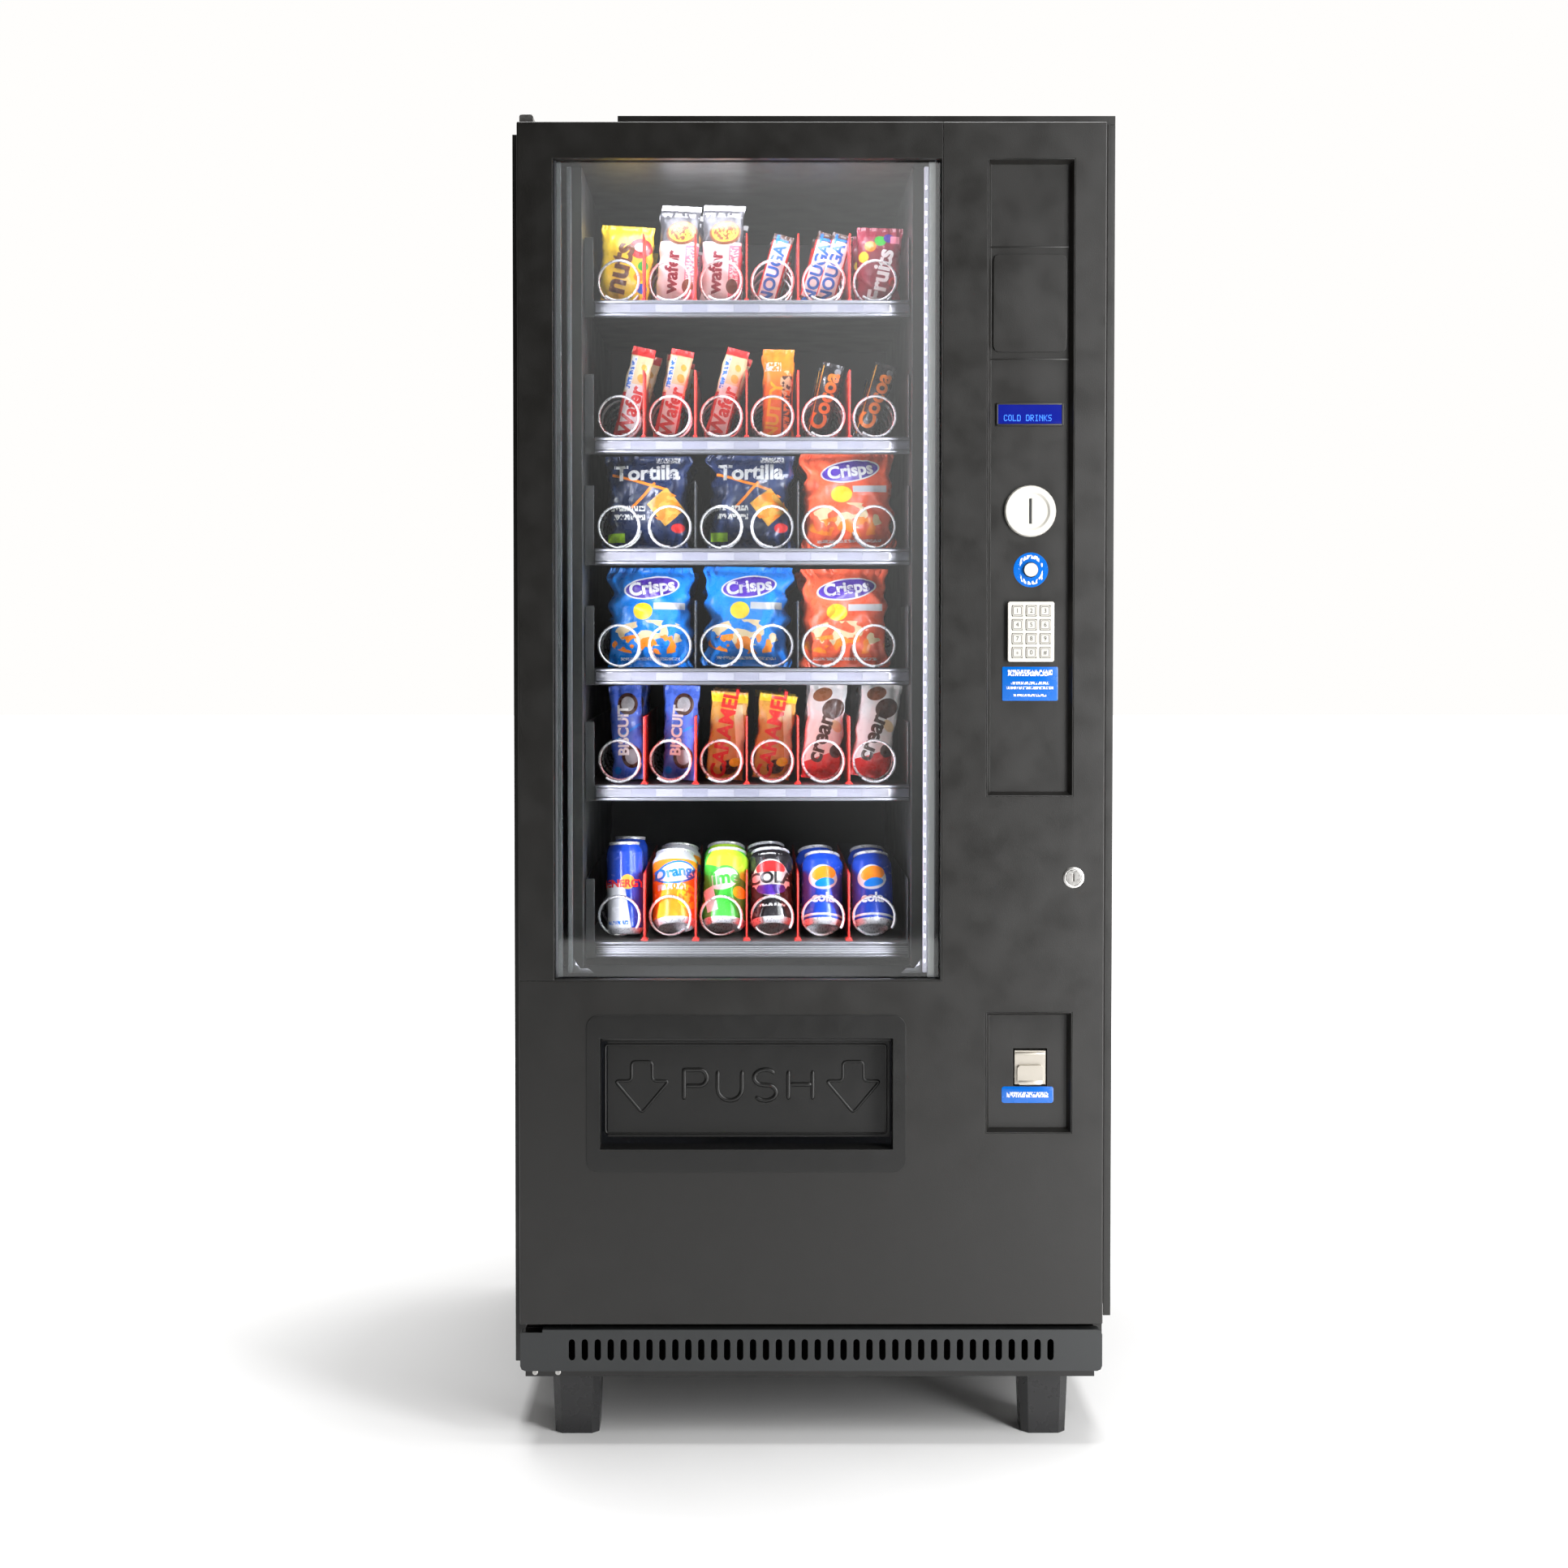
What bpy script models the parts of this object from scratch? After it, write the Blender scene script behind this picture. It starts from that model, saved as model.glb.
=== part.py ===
"""Glass-front snack vending machine on four legs, as separate sub-parts.

Metres, +Z up. The origin is on the floor, below the middle of the machine's outline, and
the customer stands at -Y. A moving piece has its origin on the axis of its joint.
"""
import math

import bmesh
import bpy
from mathutils import Matrix, Vector

MM = 0.001

# Overall size and levels
WIDTH = 840 * MM
DEPTH = 850 * MM
HEIGHT = 1846 * MM
LEG_TOP = 91 * MM
BASE_TOP = 160 * MM
GAP = 0.3 * MM            # clearance between pieces that touch
SHEET = 1.5 * MM          # folded sheet steel
WALL = 20 * MM            # foam-filled side wall
LEFT, RIGHT = -WIDTH / 2, WIDTH / 2
FRONT, BACK = -DEPTH / 2, DEPTH / 2
PROUD = 2 * MM            # how far the lock stands in front of the door

# Cabinet
GUARD_WEB = 2.2 * MM
CABINET_RIGHT = RIGHT - GUARD_WEB - GAP
CABINET_FRONT = -328 * MM
ROOF_TOP = 1833.5 * MM
ROOF_BOTTOM = 1794.3 * MM
SIDE_BOTTOM = 92 * MM
REAR_WALL_FRONT = 397 * MM
INNER_LEFT = LEFT + WALL + GAP
INNER_RIGHT = CABINET_RIGHT - WALL - GAP
DECK_TOP = 642 * MM
SKIN = 1.2 * MM

# Door
DOOR_FACE = FRONT + PROUD
DOOR_DEPTH = 92 * MM
DOOR_BACK = DOOR_FACE + DOOR_DEPTH
DOOR_HALF = 405 * MM
DOOR_BOTTOM, DOOR_TOP = 171 * MM, 1832 * MM
DOOR_SKIN = 2 * MM
EDGE_ROUND = 2 * MM
WINDOW = (-356 * MM, 178 * MM, 652 * MM, 1782 * MM)       # left, right, bottom, top
SEAM_X, SEAM_Z = 180 * MM, 650.5 * MM
FRAME_DEPTH = 15 * MM
GLASS_THICK = 5 * MM
PARTITION_X = 188 * MM
PIVOT_X, PIVOT_Y = -393 * MM, DOOR_FACE + DOOR_DEPTH / 2
PIN_R = 6 * MM

# Control column
CONTROL = (241 * MM, 361 * MM, 906 * MM, 1782 * MM)
COIN_BOX = (241 * MM, 361 * MM, 438 * MM, 607 * MM)
CONTROL_FLOOR = DOOR_FACE + 13.5 * MM
COIN_FLOOR = DOOR_FACE + 14.5 * MM
RECESS_SLOPE = 5 * MM
PANEL_THICK = 2 * MM
BUTTON_AT = (303 * MM, 1219 * MM)
BUTTON_R = 9.5 * MM
COIN_AT = (302 * MM, 1300 * MM)
COIN_R = 36 * MM
KEYPAD = (271 * MM, 335 * MM, 1092 * MM, 1175 * MM)
KEY_PITCH = 19.2 * MM
KEY_SIZE = 14 * MM
LOCK_AT = (362 * MM, 794 * MM)
LOCK_R = 11 * MM
CUP = (279 * MM, 330 * MM, 500 * MM, 556 * MM)
COIN_HINGE = (CONTROL_FLOOR + 2 * MM, 550 * MM)           # y, z of the coin flap's axis

# Delivery door
BEZEL = (-312 * MM, 131 * MM, 384 * MM, 603 * MM)
BEZEL_R = 17 * MM
MOUTH = (-293 * MM, 113 * MM, 416 * MM, 570.5 * MM)
FLAP_HINGE = (DOOR_FACE + 35 * MM, 564.5 * MM)            # y, z of the flap's axis
FLAP = (-284.5 * MM, 111 * MM, 426.5 * MM)

# Trays and coils
TRAY_LEFT, TRAY_RIGHT = -322 * MM, 143 * MM
TRAY_FRONT, TRAY_BACK = -280 * MM, 330 * MM
TRAY_TOPS = [1606 * MM, 1411 * MM, 1252 * MM, 1080 * MM, 913 * MM, 687 * MM]
TRAY_LIP = 23 * MM
TRAY_SIDE = 91 * MM
TRAY_FLANGE = 13 * MM
COIL_TRAY = 2                                             # index of the tray whose coils turn
LANES = [(-275 + 74 * lane) * MM for lane in range(6)]
COIL_R = 29.8 * MM
WIRE_R = 2 * MM
COIL_FRONT = -262 * MM
COIL_PITCH = 80 * MM
COIL_TURNS = 6

FINISHES = {
    "black_steel": ((0.022, 0.022, 0.021), 0.45, 0.3, 1.0),
    "grey_steel": ((0.060, 0.062, 0.062), 0.50, 0.3, 1.0),
    "zinc_steel": ((0.60, 0.59, 0.56), 0.30, 1.0, 1.0),
    "tray_steel": ((0.035, 0.036, 0.037), 0.45, 0.3, 1.0),
    "bright_wire": ((0.72, 0.73, 0.75), 0.20, 1.0, 1.0),
    "dark_plastic": ((0.035, 0.035, 0.036), 0.55, 0.0, 1.0),
    "cream_plastic": ((0.72, 0.69, 0.62), 0.35, 0.0, 1.0),
    "light_profile": ((0.62, 0.64, 0.66), 0.30, 0.6, 1.0),
    "flap_steel": ((0.50, 0.45, 0.38), 0.30, 1.0, 1.0),
    "display_blue": ((0.01, 0.02, 0.30), 0.15, 0.0, 1.0),
    "window_glass": ((0.85, 0.88, 0.88), 0.05, 0.0, 0.3),
}


def clear_scene():
    for obj in list(bpy.data.objects):
        bpy.data.objects.remove(obj)


def new_collection(name):
    collection = bpy.data.collections.new(name)
    bpy.context.scene.collection.children.link(collection)
    return collection


def new_material(name, finish):
    color, roughness, metallic, alpha = FINISHES[finish]
    material = bpy.data.materials.new(name)
    material.use_nodes = True
    shader = material.node_tree.nodes["Principled BSDF"]
    shader.inputs["Base Color"].default_value = (*color, 1.0)
    shader.inputs["Roughness"].default_value = roughness
    shader.inputs["Metallic"].default_value = metallic
    shader.inputs["Alpha"].default_value = alpha
    return material


def place(name, mesh, finish=None, origin=(0, 0, 0)):
    """Puts a mesh in the parts collection, or with no finish in the cutters collection."""
    mesh.transform(Matrix.Translation(-Vector(origin)))
    obj = bpy.data.objects.new(name, mesh)
    obj.location = origin
    if finish:
        PARTS.objects.link(obj)
        mesh.materials.append(new_material(name + "_finish", finish))
    else:
        CUTTERS.objects.link(obj)
        obj.hide_render = True
        obj.display_type = "WIRE"
    return obj


def block_bmesh(lo, hi, round_by=0.0, along=None, segments=2):
    """A box from corner to corner. Its edges along one axis, or all of them, can be rounded."""
    bm = bmesh.new()
    bmesh.ops.create_cube(bm, size=1.0)
    low, high = Vector(lo), Vector(hi)
    for vert in bm.verts:
        vert.co = Vector(low[i] + (vert.co[i] + 0.5) * (high[i] - low[i]) for i in range(3))
    if round_by:
        axis = "XYZ".index(along) if along else None
        edges = [e for e in bm.edges if axis is None or runs_along(e, axis)]
        bmesh.ops.bevel(bm, geom=edges, offset=round_by, segments=segments, profile=0.5, affect="EDGES")
    return bm


def runs_along(edge, axis):
    span = edge.verts[0].co - edge.verts[1].co
    return abs(span[axis]) > 0.9 * span.length


def to_mesh(name, bm):
    mesh = bpy.data.meshes.new(name)
    bm.to_mesh(mesh)
    bm.free()
    return mesh


def block(name, lo, hi, finish=None, origin=(0, 0, 0), **rounding):
    return place(name, to_mesh(name, block_bmesh(lo, hi, **rounding)), finish, origin)


def panel(name, rect, y0, y1, finish=None, origin=(0, 0, 0), **rounding):
    """A box that faces the customer: rect is left, right, bottom, top."""
    return block(name, (rect[0], y0, rect[2]), (rect[1], y1, rect[3]), finish, origin, **rounding)


def disc(name, at, y0, y1, radius, finish=None, origin=(0, 0, 0), sides=24, back_radius=None):
    """A cylinder or cone with its axis along Y; at is its x, z centre."""
    bm = bmesh.new()
    rear = radius if back_radius is None else back_radius
    bmesh.ops.create_cone(bm, cap_ends=True, segments=sides, radius1=rear, radius2=radius, depth=y1 - y0)
    for vert in bm.verts:
        x, y, z = vert.co
        vert.co = Vector((at[0] + x, (y0 + y1) / 2 - z, at[1] + y))
    obj = place(name, to_mesh(name, bm), finish, origin)
    shade_round(obj)
    return obj


def post(name, x, y, z0, z1, radius, finish=None, sides=16):
    """An upright cylinder."""
    bm = bmesh.new()
    bmesh.ops.create_cone(bm, cap_ends=True, segments=sides, radius1=radius, radius2=radius, depth=z1 - z0)
    bmesh.ops.translate(bm, verts=bm.verts, vec=(x, y, (z0 + z1) / 2))
    return place(name, to_mesh(name, bm), finish)


def shade_round(obj):
    obj.data.shade_smooth()
    obj.data.set_sharp_from_angle(angle=math.radians(35))


def boolean(obj, tool, operation):
    modifier = obj.modifiers.new(operation.lower() + "_" + tool.name, "BOOLEAN")
    modifier.operation = operation
    modifier.solver = "EXACT"
    modifier.object = tool


def cut(obj, *tools):
    for tool in tools:
        boolean(obj, tool, "DIFFERENCE")


def add(obj, *tools):
    for tool in tools:
        boolean(obj, tool, "UNION")


def grown(rect, by):
    return (rect[0] - by, rect[1] + by, rect[2] - by, rect[3] + by)


def tapered_cutter(name, rect, y0, y1, slope):
    """A cutter whose far face is smaller all round by slope."""
    bm = block_bmesh((rect[0], y0, rect[2]), (rect[1], y1, rect[3]))
    centre = Vector(((rect[0] + rect[1]) / 2, 0, (rect[2] + rect[3]) / 2))
    for vert in bm.verts:
        if vert.co.y > (y0 + y1) / 2:
            vert.co.x -= math.copysign(slope, vert.co.x - centre.x)
            vert.co.z -= math.copysign(slope, vert.co.z - centre.z)
    return place(name, to_mesh(name, bm))


# Cabinet

def hollow_panel(name, lo, hi, finish="black_steel"):
    """A double-skinned panel, with the hole on its upper edge that its foam is filled through."""
    shell = block(name, lo, hi, finish)
    inner_lo = [v + SKIN for v in lo]
    inner_hi = [v - SKIN for v in hi]
    cut(shell, block(name + "_foam", inner_lo, inner_hi))
    middle = [(a + b) / 2 for a, b in zip(lo, hi)]
    thin = min(range(3), key=lambda i: hi[i] - lo[i])
    rim = [v - 15 * MM for v in middle]
    end = [v + 15 * MM for v in middle]
    rim[thin], end[thin] = lo[thin] + 3 * MM, hi[thin] - 3 * MM
    edge = 1 if thin == 2 else 2
    rim[edge], end[edge] = hi[edge] - 5 * MM, hi[edge] + 5 * MM
    cut(shell, block(name + "_fill_hole", rim, end))
    return shell


def make_cabinet():
    hollow_panel("side_wall_left", (LEFT, CABINET_FRONT, SIDE_BOTTOM), (LEFT + WALL, BACK, ROOF_TOP))
    hollow_panel("side_wall_right", (CABINET_RIGHT - WALL, CABINET_FRONT, SIDE_BOTTOM),
                 (CABINET_RIGHT, BACK, ROOF_TOP))
    hollow_panel("roof_panel", (INNER_LEFT, CABINET_FRONT, ROOF_BOTTOM),
                 (INNER_RIGHT, REAR_WALL_FRONT - GAP, ROOF_TOP))
    hollow_panel("rear_wall", (INNER_LEFT, REAR_WALL_FRONT, BASE_TOP + GAP), (INNER_RIGHT, BACK, ROOF_TOP))
    deck = block("deck_panel", (INNER_LEFT, -200 * MM, 214 * MM),
                 (INNER_RIGHT, REAR_WALL_FRONT - GAP, DECK_TOP), "grey_steel")
    cut(deck, block("under_deck", (LEFT, -198 * MM, 100 * MM), (RIGHT, BACK, DECK_TOP - 2 * MM)))


def make_base():
    frame = block("base_frame", (INNER_LEFT, -398 * MM, LEG_TOP), (INNER_RIGHT, BACK, BASE_TOP), "black_steel")
    cut(frame, block("base_inside", (INNER_LEFT + 2 * MM, -396 * MM, LEG_TOP + 2 * MM),
                     (INNER_RIGHT - 2 * MM, BACK - 2 * MM, BASE_TOP + 10 * MM)))
    cut(frame, block("air_intake", (-355 * MM, -410 * MM, 106 * MM), (355 * MM, -390 * MM, 154 * MM)))
    for side, x in (("left", -330 * MM), ("right", 330 * MM)):
        for end, y in (("front", -335 * MM), ("rear", 365 * MM)):
            make_leg(f"leg_{end}_{side}", x, y)


def make_leg(name, x, y):
    """A tapered, chamfered plastic leg."""
    half, foot_scale = 34.5 * MM, 0.9
    bm = block_bmesh((-half, -half, 0), (half, half, LEG_TOP - GAP), round_by=11 * MM, along="Z", segments=1)
    for vert in bm.verts:
        if vert.co.z < LEG_TOP / 2:
            vert.co.x *= foot_scale
            vert.co.y *= foot_scale
    bmesh.ops.translate(bm, verts=bm.verts, vec=(x, y, 0))
    place(name, to_mesh(name, bm), "dark_plastic")


def make_vent_grille():
    bottom, top, front, back = 105 * MM, 163 * MM, -420 * MM, -400 * MM
    grille = panel("vent_grille", (-DOOR_HALF, DOOR_HALF, bottom, top), front, back, "grey_steel",
                   round_by=7 * MM, along="Y", segments=2)
    inside = (-DOOR_HALF + SHEET, DOOR_HALF - SHEET, bottom + SHEET, top - SHEET)
    cut(grille, panel("grille_inside", inside, front + SHEET, 0, round_by=6 * MM, along="Y"))
    cut(grille, panel("hinge_notch", (-420 * MM, -374 * MM, 159 * MM, 170 * MM), -430 * MM, -390 * MM))
    count, pitch, width, height, middle = 38, 18 * MM, 8.9 * MM, 30 * MM, 135 * MM
    first = -(count - 1) / 2 * pitch
    slot = (first - width / 2, first + width / 2, middle - height / 2, middle + height / 2)
    slots = panel("grille_slots", slot, front - 5 * MM, front + 5 * MM,
                  round_by=width / 2 - 0.05 * MM, along="Y", segments=2)
    row = slots.modifiers.new("row", "ARRAY")
    row.count = count
    row.use_relative_offset = False
    row.use_constant_offset = True
    row.constant_offset_displace = (pitch, 0, 0)
    row.merge_threshold = 0.0001
    cut(grille, slots)


def make_guards():
    """Anti-pry rails on the roof and the right side, which stand forward round the closed door."""
    front, side_back, top_back = -393 * MM, -262 * MM, -250 * MM
    side = block("guard_side", (409.5 * MM, front, 175.5 * MM), (RIGHT, side_back, ROOF_TOP), "black_steel")
    cut(side, block("guard_side_fold", (400 * MM, front + SHEET, 160 * MM), (RIGHT - GUARD_WEB, 0, HEIGHT)))
    top = block("guard_top", (-268 * MM, front, ROOF_TOP + GAP), (RIGHT, top_back, HEIGHT), "black_steel")
    cut(top, block("guard_top_fold", (-266.5 * MM, front + SHEET, DOOR_TOP),
                   (RIGHT - SHEET, top_back - SHEET, HEIGHT - SHEET)))


def make_hinges():
    pin_into_door = 14 * MM
    plate_top = ROOF_TOP + GAP + 3 * MM
    upper = block("hinge_upper", (-402 * MM, PIVOT_Y - 12 * MM, ROOF_TOP + GAP),
                  (-272 * MM, -300 * MM, plate_top), "zinc_steel")
    cap = block("hinge_cap", (-403 * MM, PIVOT_Y - 25 * MM, ROOF_TOP + GAP), (-384 * MM, PIVOT_Y + 14 * MM, HEIGHT),
                round_by=3 * MM, along="Y")
    pin = post("hinge_upper_pin", PIVOT_X, PIVOT_Y, DOOR_TOP - pin_into_door, plate_top - MM, PIN_R)
    add(upper, cap, pin)
    lower = block("hinge_lower", (-399 * MM, PIVOT_Y - 10 * MM, BASE_TOP + GAP),
                  (-335 * MM, -340 * MM, BASE_TOP + 3 * MM), "zinc_steel")
    knuckle = post("hinge_knuckle", PIVOT_X, PIVOT_Y, BASE_TOP + MM, DOOR_BOTTOM - GAP, 8 * MM)
    pin = post("hinge_lower_pin", PIVOT_X, PIVOT_Y, BASE_TOP + 2 * MM, DOOR_BOTTOM + pin_into_door, PIN_R)
    add(lower, knuckle, pin)


def make_uprights():
    """Inner side walls, folded at the front into the posts that carry the trays."""
    front, back, bottom, top, post_width = -310 * MM, 390 * MM, 654 * MM, 1792 * MM, 21.5 * MM
    left = block("upright_left", (-345 * MM, front, bottom), (-345 * MM + post_width, back, top), "grey_steel")
    cut(left, block("upright_left_fold", (-350 * MM, front + SHEET, 0), (-325 * MM, BACK, 2.0)))
    right = block("upright_right", (145 * MM, front, bottom), (145 * MM + post_width, back, top), "grey_steel")
    cut(right, block("upright_right_fold", (146.5 * MM, front + SHEET, 0), (200 * MM, BACK, 2.0)))


def make_tray(number, top):
    name = f"tray_{number}"
    tray = block(name, (TRAY_LEFT, TRAY_FRONT, top - TRAY_LIP), (TRAY_RIGHT, TRAY_BACK, top + TRAY_SIDE),
                 "tray_steel")
    cut(tray, block(name + "_space", (TRAY_LEFT + SHEET, TRAY_FRONT + SHEET, top),
                    (TRAY_RIGHT - SHEET, TRAY_BACK - SHEET, HEIGHT)))
    cut(tray, block(name + "_mouth", (TRAY_LEFT + TRAY_FLANGE, FRONT, top), (TRAY_RIGHT - SHEET, 0, HEIGHT)))
    cut(tray, block(name + "_under", (LEFT, TRAY_FRONT + SHEET, 0), (RIGHT, BACK, top - SHEET)))
    if number - 1 == COIL_TRAY:
        for lane in LANES:
            cut(tray, disc(f"{name}_shaft_hole_{lane:+.3f}", (lane, top + coil_lift()),
                           TRAY_BACK - 20 * MM, TRAY_BACK + 20 * MM, 4 * MM, sides=8))


def coil_lift():
    """Height of a coil's axis above its tray."""
    return COIL_R + WIRE_R + 1.5 * MM


def make_coil(number, lane):
    """A wire coil whose rear end runs in to the axis and back to its motor."""
    turning = 1 if number % 2 else -1
    per_turn = 8
    points = []
    for step in range(COIL_TURNS * per_turn + 1):
        angle = -math.pi / 2 + turning * 2 * math.pi * step / per_turn
        points.append((COIL_R * math.cos(angle), step * COIL_PITCH / per_turn, COIL_R * math.sin(angle)))
    end = COIL_TURNS * COIL_PITCH
    points.append((0, end + 12 * MM, 0))
    points.append((0, TRAY_BACK - COIL_FRONT + 15 * MM, 0))
    curve = bpy.data.curves.new("coil_path", "CURVE")
    curve.dimensions = "3D"
    curve.bevel_depth = WIRE_R
    curve.bevel_resolution = 1
    curve.use_fill_caps = True
    spline = curve.splines.new("POLY")
    spline.points.add(len(points) - 1)
    for point, co in zip(spline.points, points):
        point.co = (*co, 1)
    guide = bpy.data.objects.new("coil_path", curve)
    bpy.context.scene.collection.objects.link(guide)
    mesh = bpy.data.meshes.new_from_object(guide.evaluated_get(bpy.context.evaluated_depsgraph_get()))
    bpy.data.objects.remove(guide)
    weld(mesh)
    obj = place(f"coil_{number}", mesh, "bright_wire")
    obj.location = (lane, COIL_FRONT, TRAY_TOPS[COIL_TRAY] + coil_lift())
    shade_round(obj)


def weld(mesh):
    bm = bmesh.new()
    bm.from_mesh(mesh)
    bmesh.ops.remove_doubles(bm, verts=bm.verts, dist=0.00001)
    bm.to_mesh(mesh)
    bm.free()


def make_cooling():
    front, back = -150 * MM, 370 * MM
    floor, top, left, right = LEG_TOP + 2 * MM + GAP, 574 * MM, -280 * MM, 320 * MM
    fan_at, fan_r = (20 * MM, 354 * MM), 130 * MM
    unit = block("cooling_unit", (left, front, floor), (right, back, top), "grey_steel")
    cut(unit, block("cooling_inside", (left + 2 * MM, front + 2 * MM, floor + 2 * MM),
                    (right - 2 * MM, BACK, top - 2 * MM)))
    cut(unit, disc("fan_opening", fan_at, front - 20 * MM, front + 20 * MM, fan_r, sides=24))
    origin = (fan_at[0], front + MM, fan_at[1])
    fan = disc("condenser_fan", fan_at, front - 14 * MM, front + 16 * MM, 32 * MM, "dark_plastic", origin, sides=12)
    blades = 5
    for index in range(blades):
        blade = block(f"fan_blade_{index}", (-24 * MM, -1.5 * MM, 20 * MM), (24 * MM, 1.5 * MM, fan_r - 8 * MM))
        blade.location = origin
        blade.rotation_mode = "ZYX"
        blade.rotation_euler = (0, 2 * math.pi * index / blades, math.radians(22))
        add(fan, blade)


# Door

def door_block(name, finish=None):
    rect = (-DOOR_HALF, DOOR_HALF, DOOR_BOTTOM, DOOR_TOP)
    return panel(name, rect, DOOR_FACE, DOOR_BACK, finish, round_by=EDGE_ROUND, segments=2)


def make_door_shell():
    """The folded steel door, with the corner left out where the window frame sits."""
    shell = door_block("door_shell", "black_steel")
    frame_corner = (-1.0, SEAM_X, SEAM_Z - GAP, 2.0)
    cut(shell, panel("frame_corner", frame_corner, -1.0, DOOR_FACE + FRAME_DEPTH + GAP))
    inner_bottom, inner_top = DOOR_BOTTOM + DOOR_SKIN, DOOR_TOP - DOOR_SKIN
    edge = DOOR_HALF - DOOR_SKIN
    left_bay = (-edge, PARTITION_X, inner_bottom, inner_top)
    right_bay = (PARTITION_X + DOOR_SKIN, edge, inner_bottom, inner_top)
    cut(shell, panel("left_bay", left_bay, DOOR_FACE + DOOR_SKIN, 0))
    cut(shell, panel("right_bay", right_bay, DOOR_FACE + DOOR_SKIN, 0))
    through = DOOR_FACE + 6 * MM
    cut(shell, panel("control_opening", CONTROL, -1.0, through))
    cut(shell, panel("coin_box_opening", COIN_BOX, -1.0, through))
    cut(shell, panel("mouth_opening", grown(MOUTH, 2 * MM), -1.0, through))
    cut(shell, disc("lock_hole", LOCK_AT, -1.0, through, LOCK_R - MM, sides=16))
    for end, z in (("top", DOOR_TOP), ("bottom", DOOR_BOTTOM)):
        cut(shell, post(f"pin_hole_{end}", PIVOT_X, PIVOT_Y, z - 5 * MM, z + 5 * MM, PIN_R + 0.5 * MM))


def make_window():
    frame = door_block("window_frame", "black_steel")
    corner = panel("frame_region", (-1.0, SEAM_X - GAP, SEAM_Z, 2.0), -1.0, DOOR_FACE + FRAME_DEPTH)
    boolean(frame, corner, "INTERSECT")
    cut(frame, panel("window_opening", WINDOW, -1.0, 0))
    edge = -DOOR_HALF + SHEET
    post_fold = (edge, WINDOW[0] - SHEET, WINDOW[2], DOOR_TOP - SHEET)
    head_fold = (edge, WINDOW[1] - SHEET, WINDOW[3] + SHEET, DOOR_TOP - SHEET)
    cut(frame, panel("frame_post_fold", post_fold, DOOR_FACE + SHEET, 0))
    cut(frame, panel("frame_head_fold", head_fold, DOOR_FACE + SHEET, 0))
    front = DOOR_FACE + FRAME_DEPTH + GAP
    back = front + GLASS_THICK
    panel("glass", grown(WINDOW, 8 * MM), front, back, "window_glass")
    for side, x in (("left", -355 * MM), ("right", 162 * MM)):
        strip = (x, x + 9 * MM, WINDOW[2] + MM, WINDOW[3] - MM)
        panel(f"led_{side}", strip, back + GAP, back + GAP + 12 * MM, "light_profile")


def make_control_column():
    plate = panel("control_plate", grown(CONTROL, -GAP), DOOR_FACE + GAP, CONTROL_FLOOR + PANEL_THICK, "black_steel")
    cut(plate, tapered_cutter("control_recess", grown(CONTROL, -MM), DOOR_FACE - MM, CONTROL_FLOOR, RECESS_SLOPE))
    cut(plate, disc("button_hole", BUTTON_AT, -1.0, 0, BUTTON_R + 0.6 * MM, sides=16))
    on_plate = CONTROL_FLOOR - GAP
    panel("validator_blank", (250 * MM, 351.5 * MM, 1519 * MM, 1653 * MM), on_plate - 2 * MM, on_plate,
          "black_steel", round_by=8 * MM, along="Y")
    panel("display", (257 * MM, 345 * MM, 1420 * MM, 1446.5 * MM), on_plate - 2.5 * MM, on_plate, "display_blue")
    inlet = disc("coin_inlet", COIN_AT, on_plate - 6.5 * MM, on_plate, COIN_R - 1.5 * MM, "cream_plastic",
                 sides=32, back_radius=COIN_R)
    dish_depth = 3 * MM
    front = on_plate - 6.5 * MM
    cut(inlet, disc("coin_dish", COIN_AT, front - MM, front + dish_depth, 28 * MM, sides=32, back_radius=24 * MM))
    slot = (COIN_AT[0] - 1.9 * MM, COIN_AT[0] + 1.9 * MM, COIN_AT[1] - 17.5 * MM, COIN_AT[1] + 17.5 * MM)
    cut(inlet, panel("coin_slot", slot, front - MM, front + 5.5 * MM))
    button_origin = (BUTTON_AT[0], on_plate, BUTTON_AT[1])
    disc("return_button", BUTTON_AT, CONTROL_FLOOR - 6 * MM, CONTROL_FLOOR + 8 * MM, BUTTON_R, "cream_plastic",
         button_origin, back_radius=BUTTON_R)
    make_keypad(on_plate)
    make_lock()


def make_keypad(on_plate):
    plate_front = on_plate - 7.7 * MM
    plate = panel("keypad_plate", KEYPAD, plate_front, on_plate, "cream_plastic", round_by=2 * MM, along="Y",
                  segments=1)
    centre_x = (KEYPAD[0] + KEYPAD[1]) / 2
    centre_z = (KEYPAD[2] + KEYPAD[3]) / 2
    labels = ["1", "2", "3", "4", "5", "6", "7", "8", "9", "star", "0", "hash"]
    for index, label in enumerate(labels):
        x = centre_x + (index % 3 - 1) * KEY_PITCH
        z = centre_z + (1.5 - index // 3) * KEY_PITCH
        half = KEY_SIZE / 2
        key = (x - half, x + half, z - half, z + half)
        cut(plate, panel(f"key_hole_{label}", grown(key, 0.5 * MM), -1.0, 0))
        panel(f"key_{label}", key, plate_front - 1.5 * MM, on_plate - 2 * MM, "cream_plastic",
              (x, on_plate, z), round_by=1.5 * MM, along="Y", segments=1)


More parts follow.
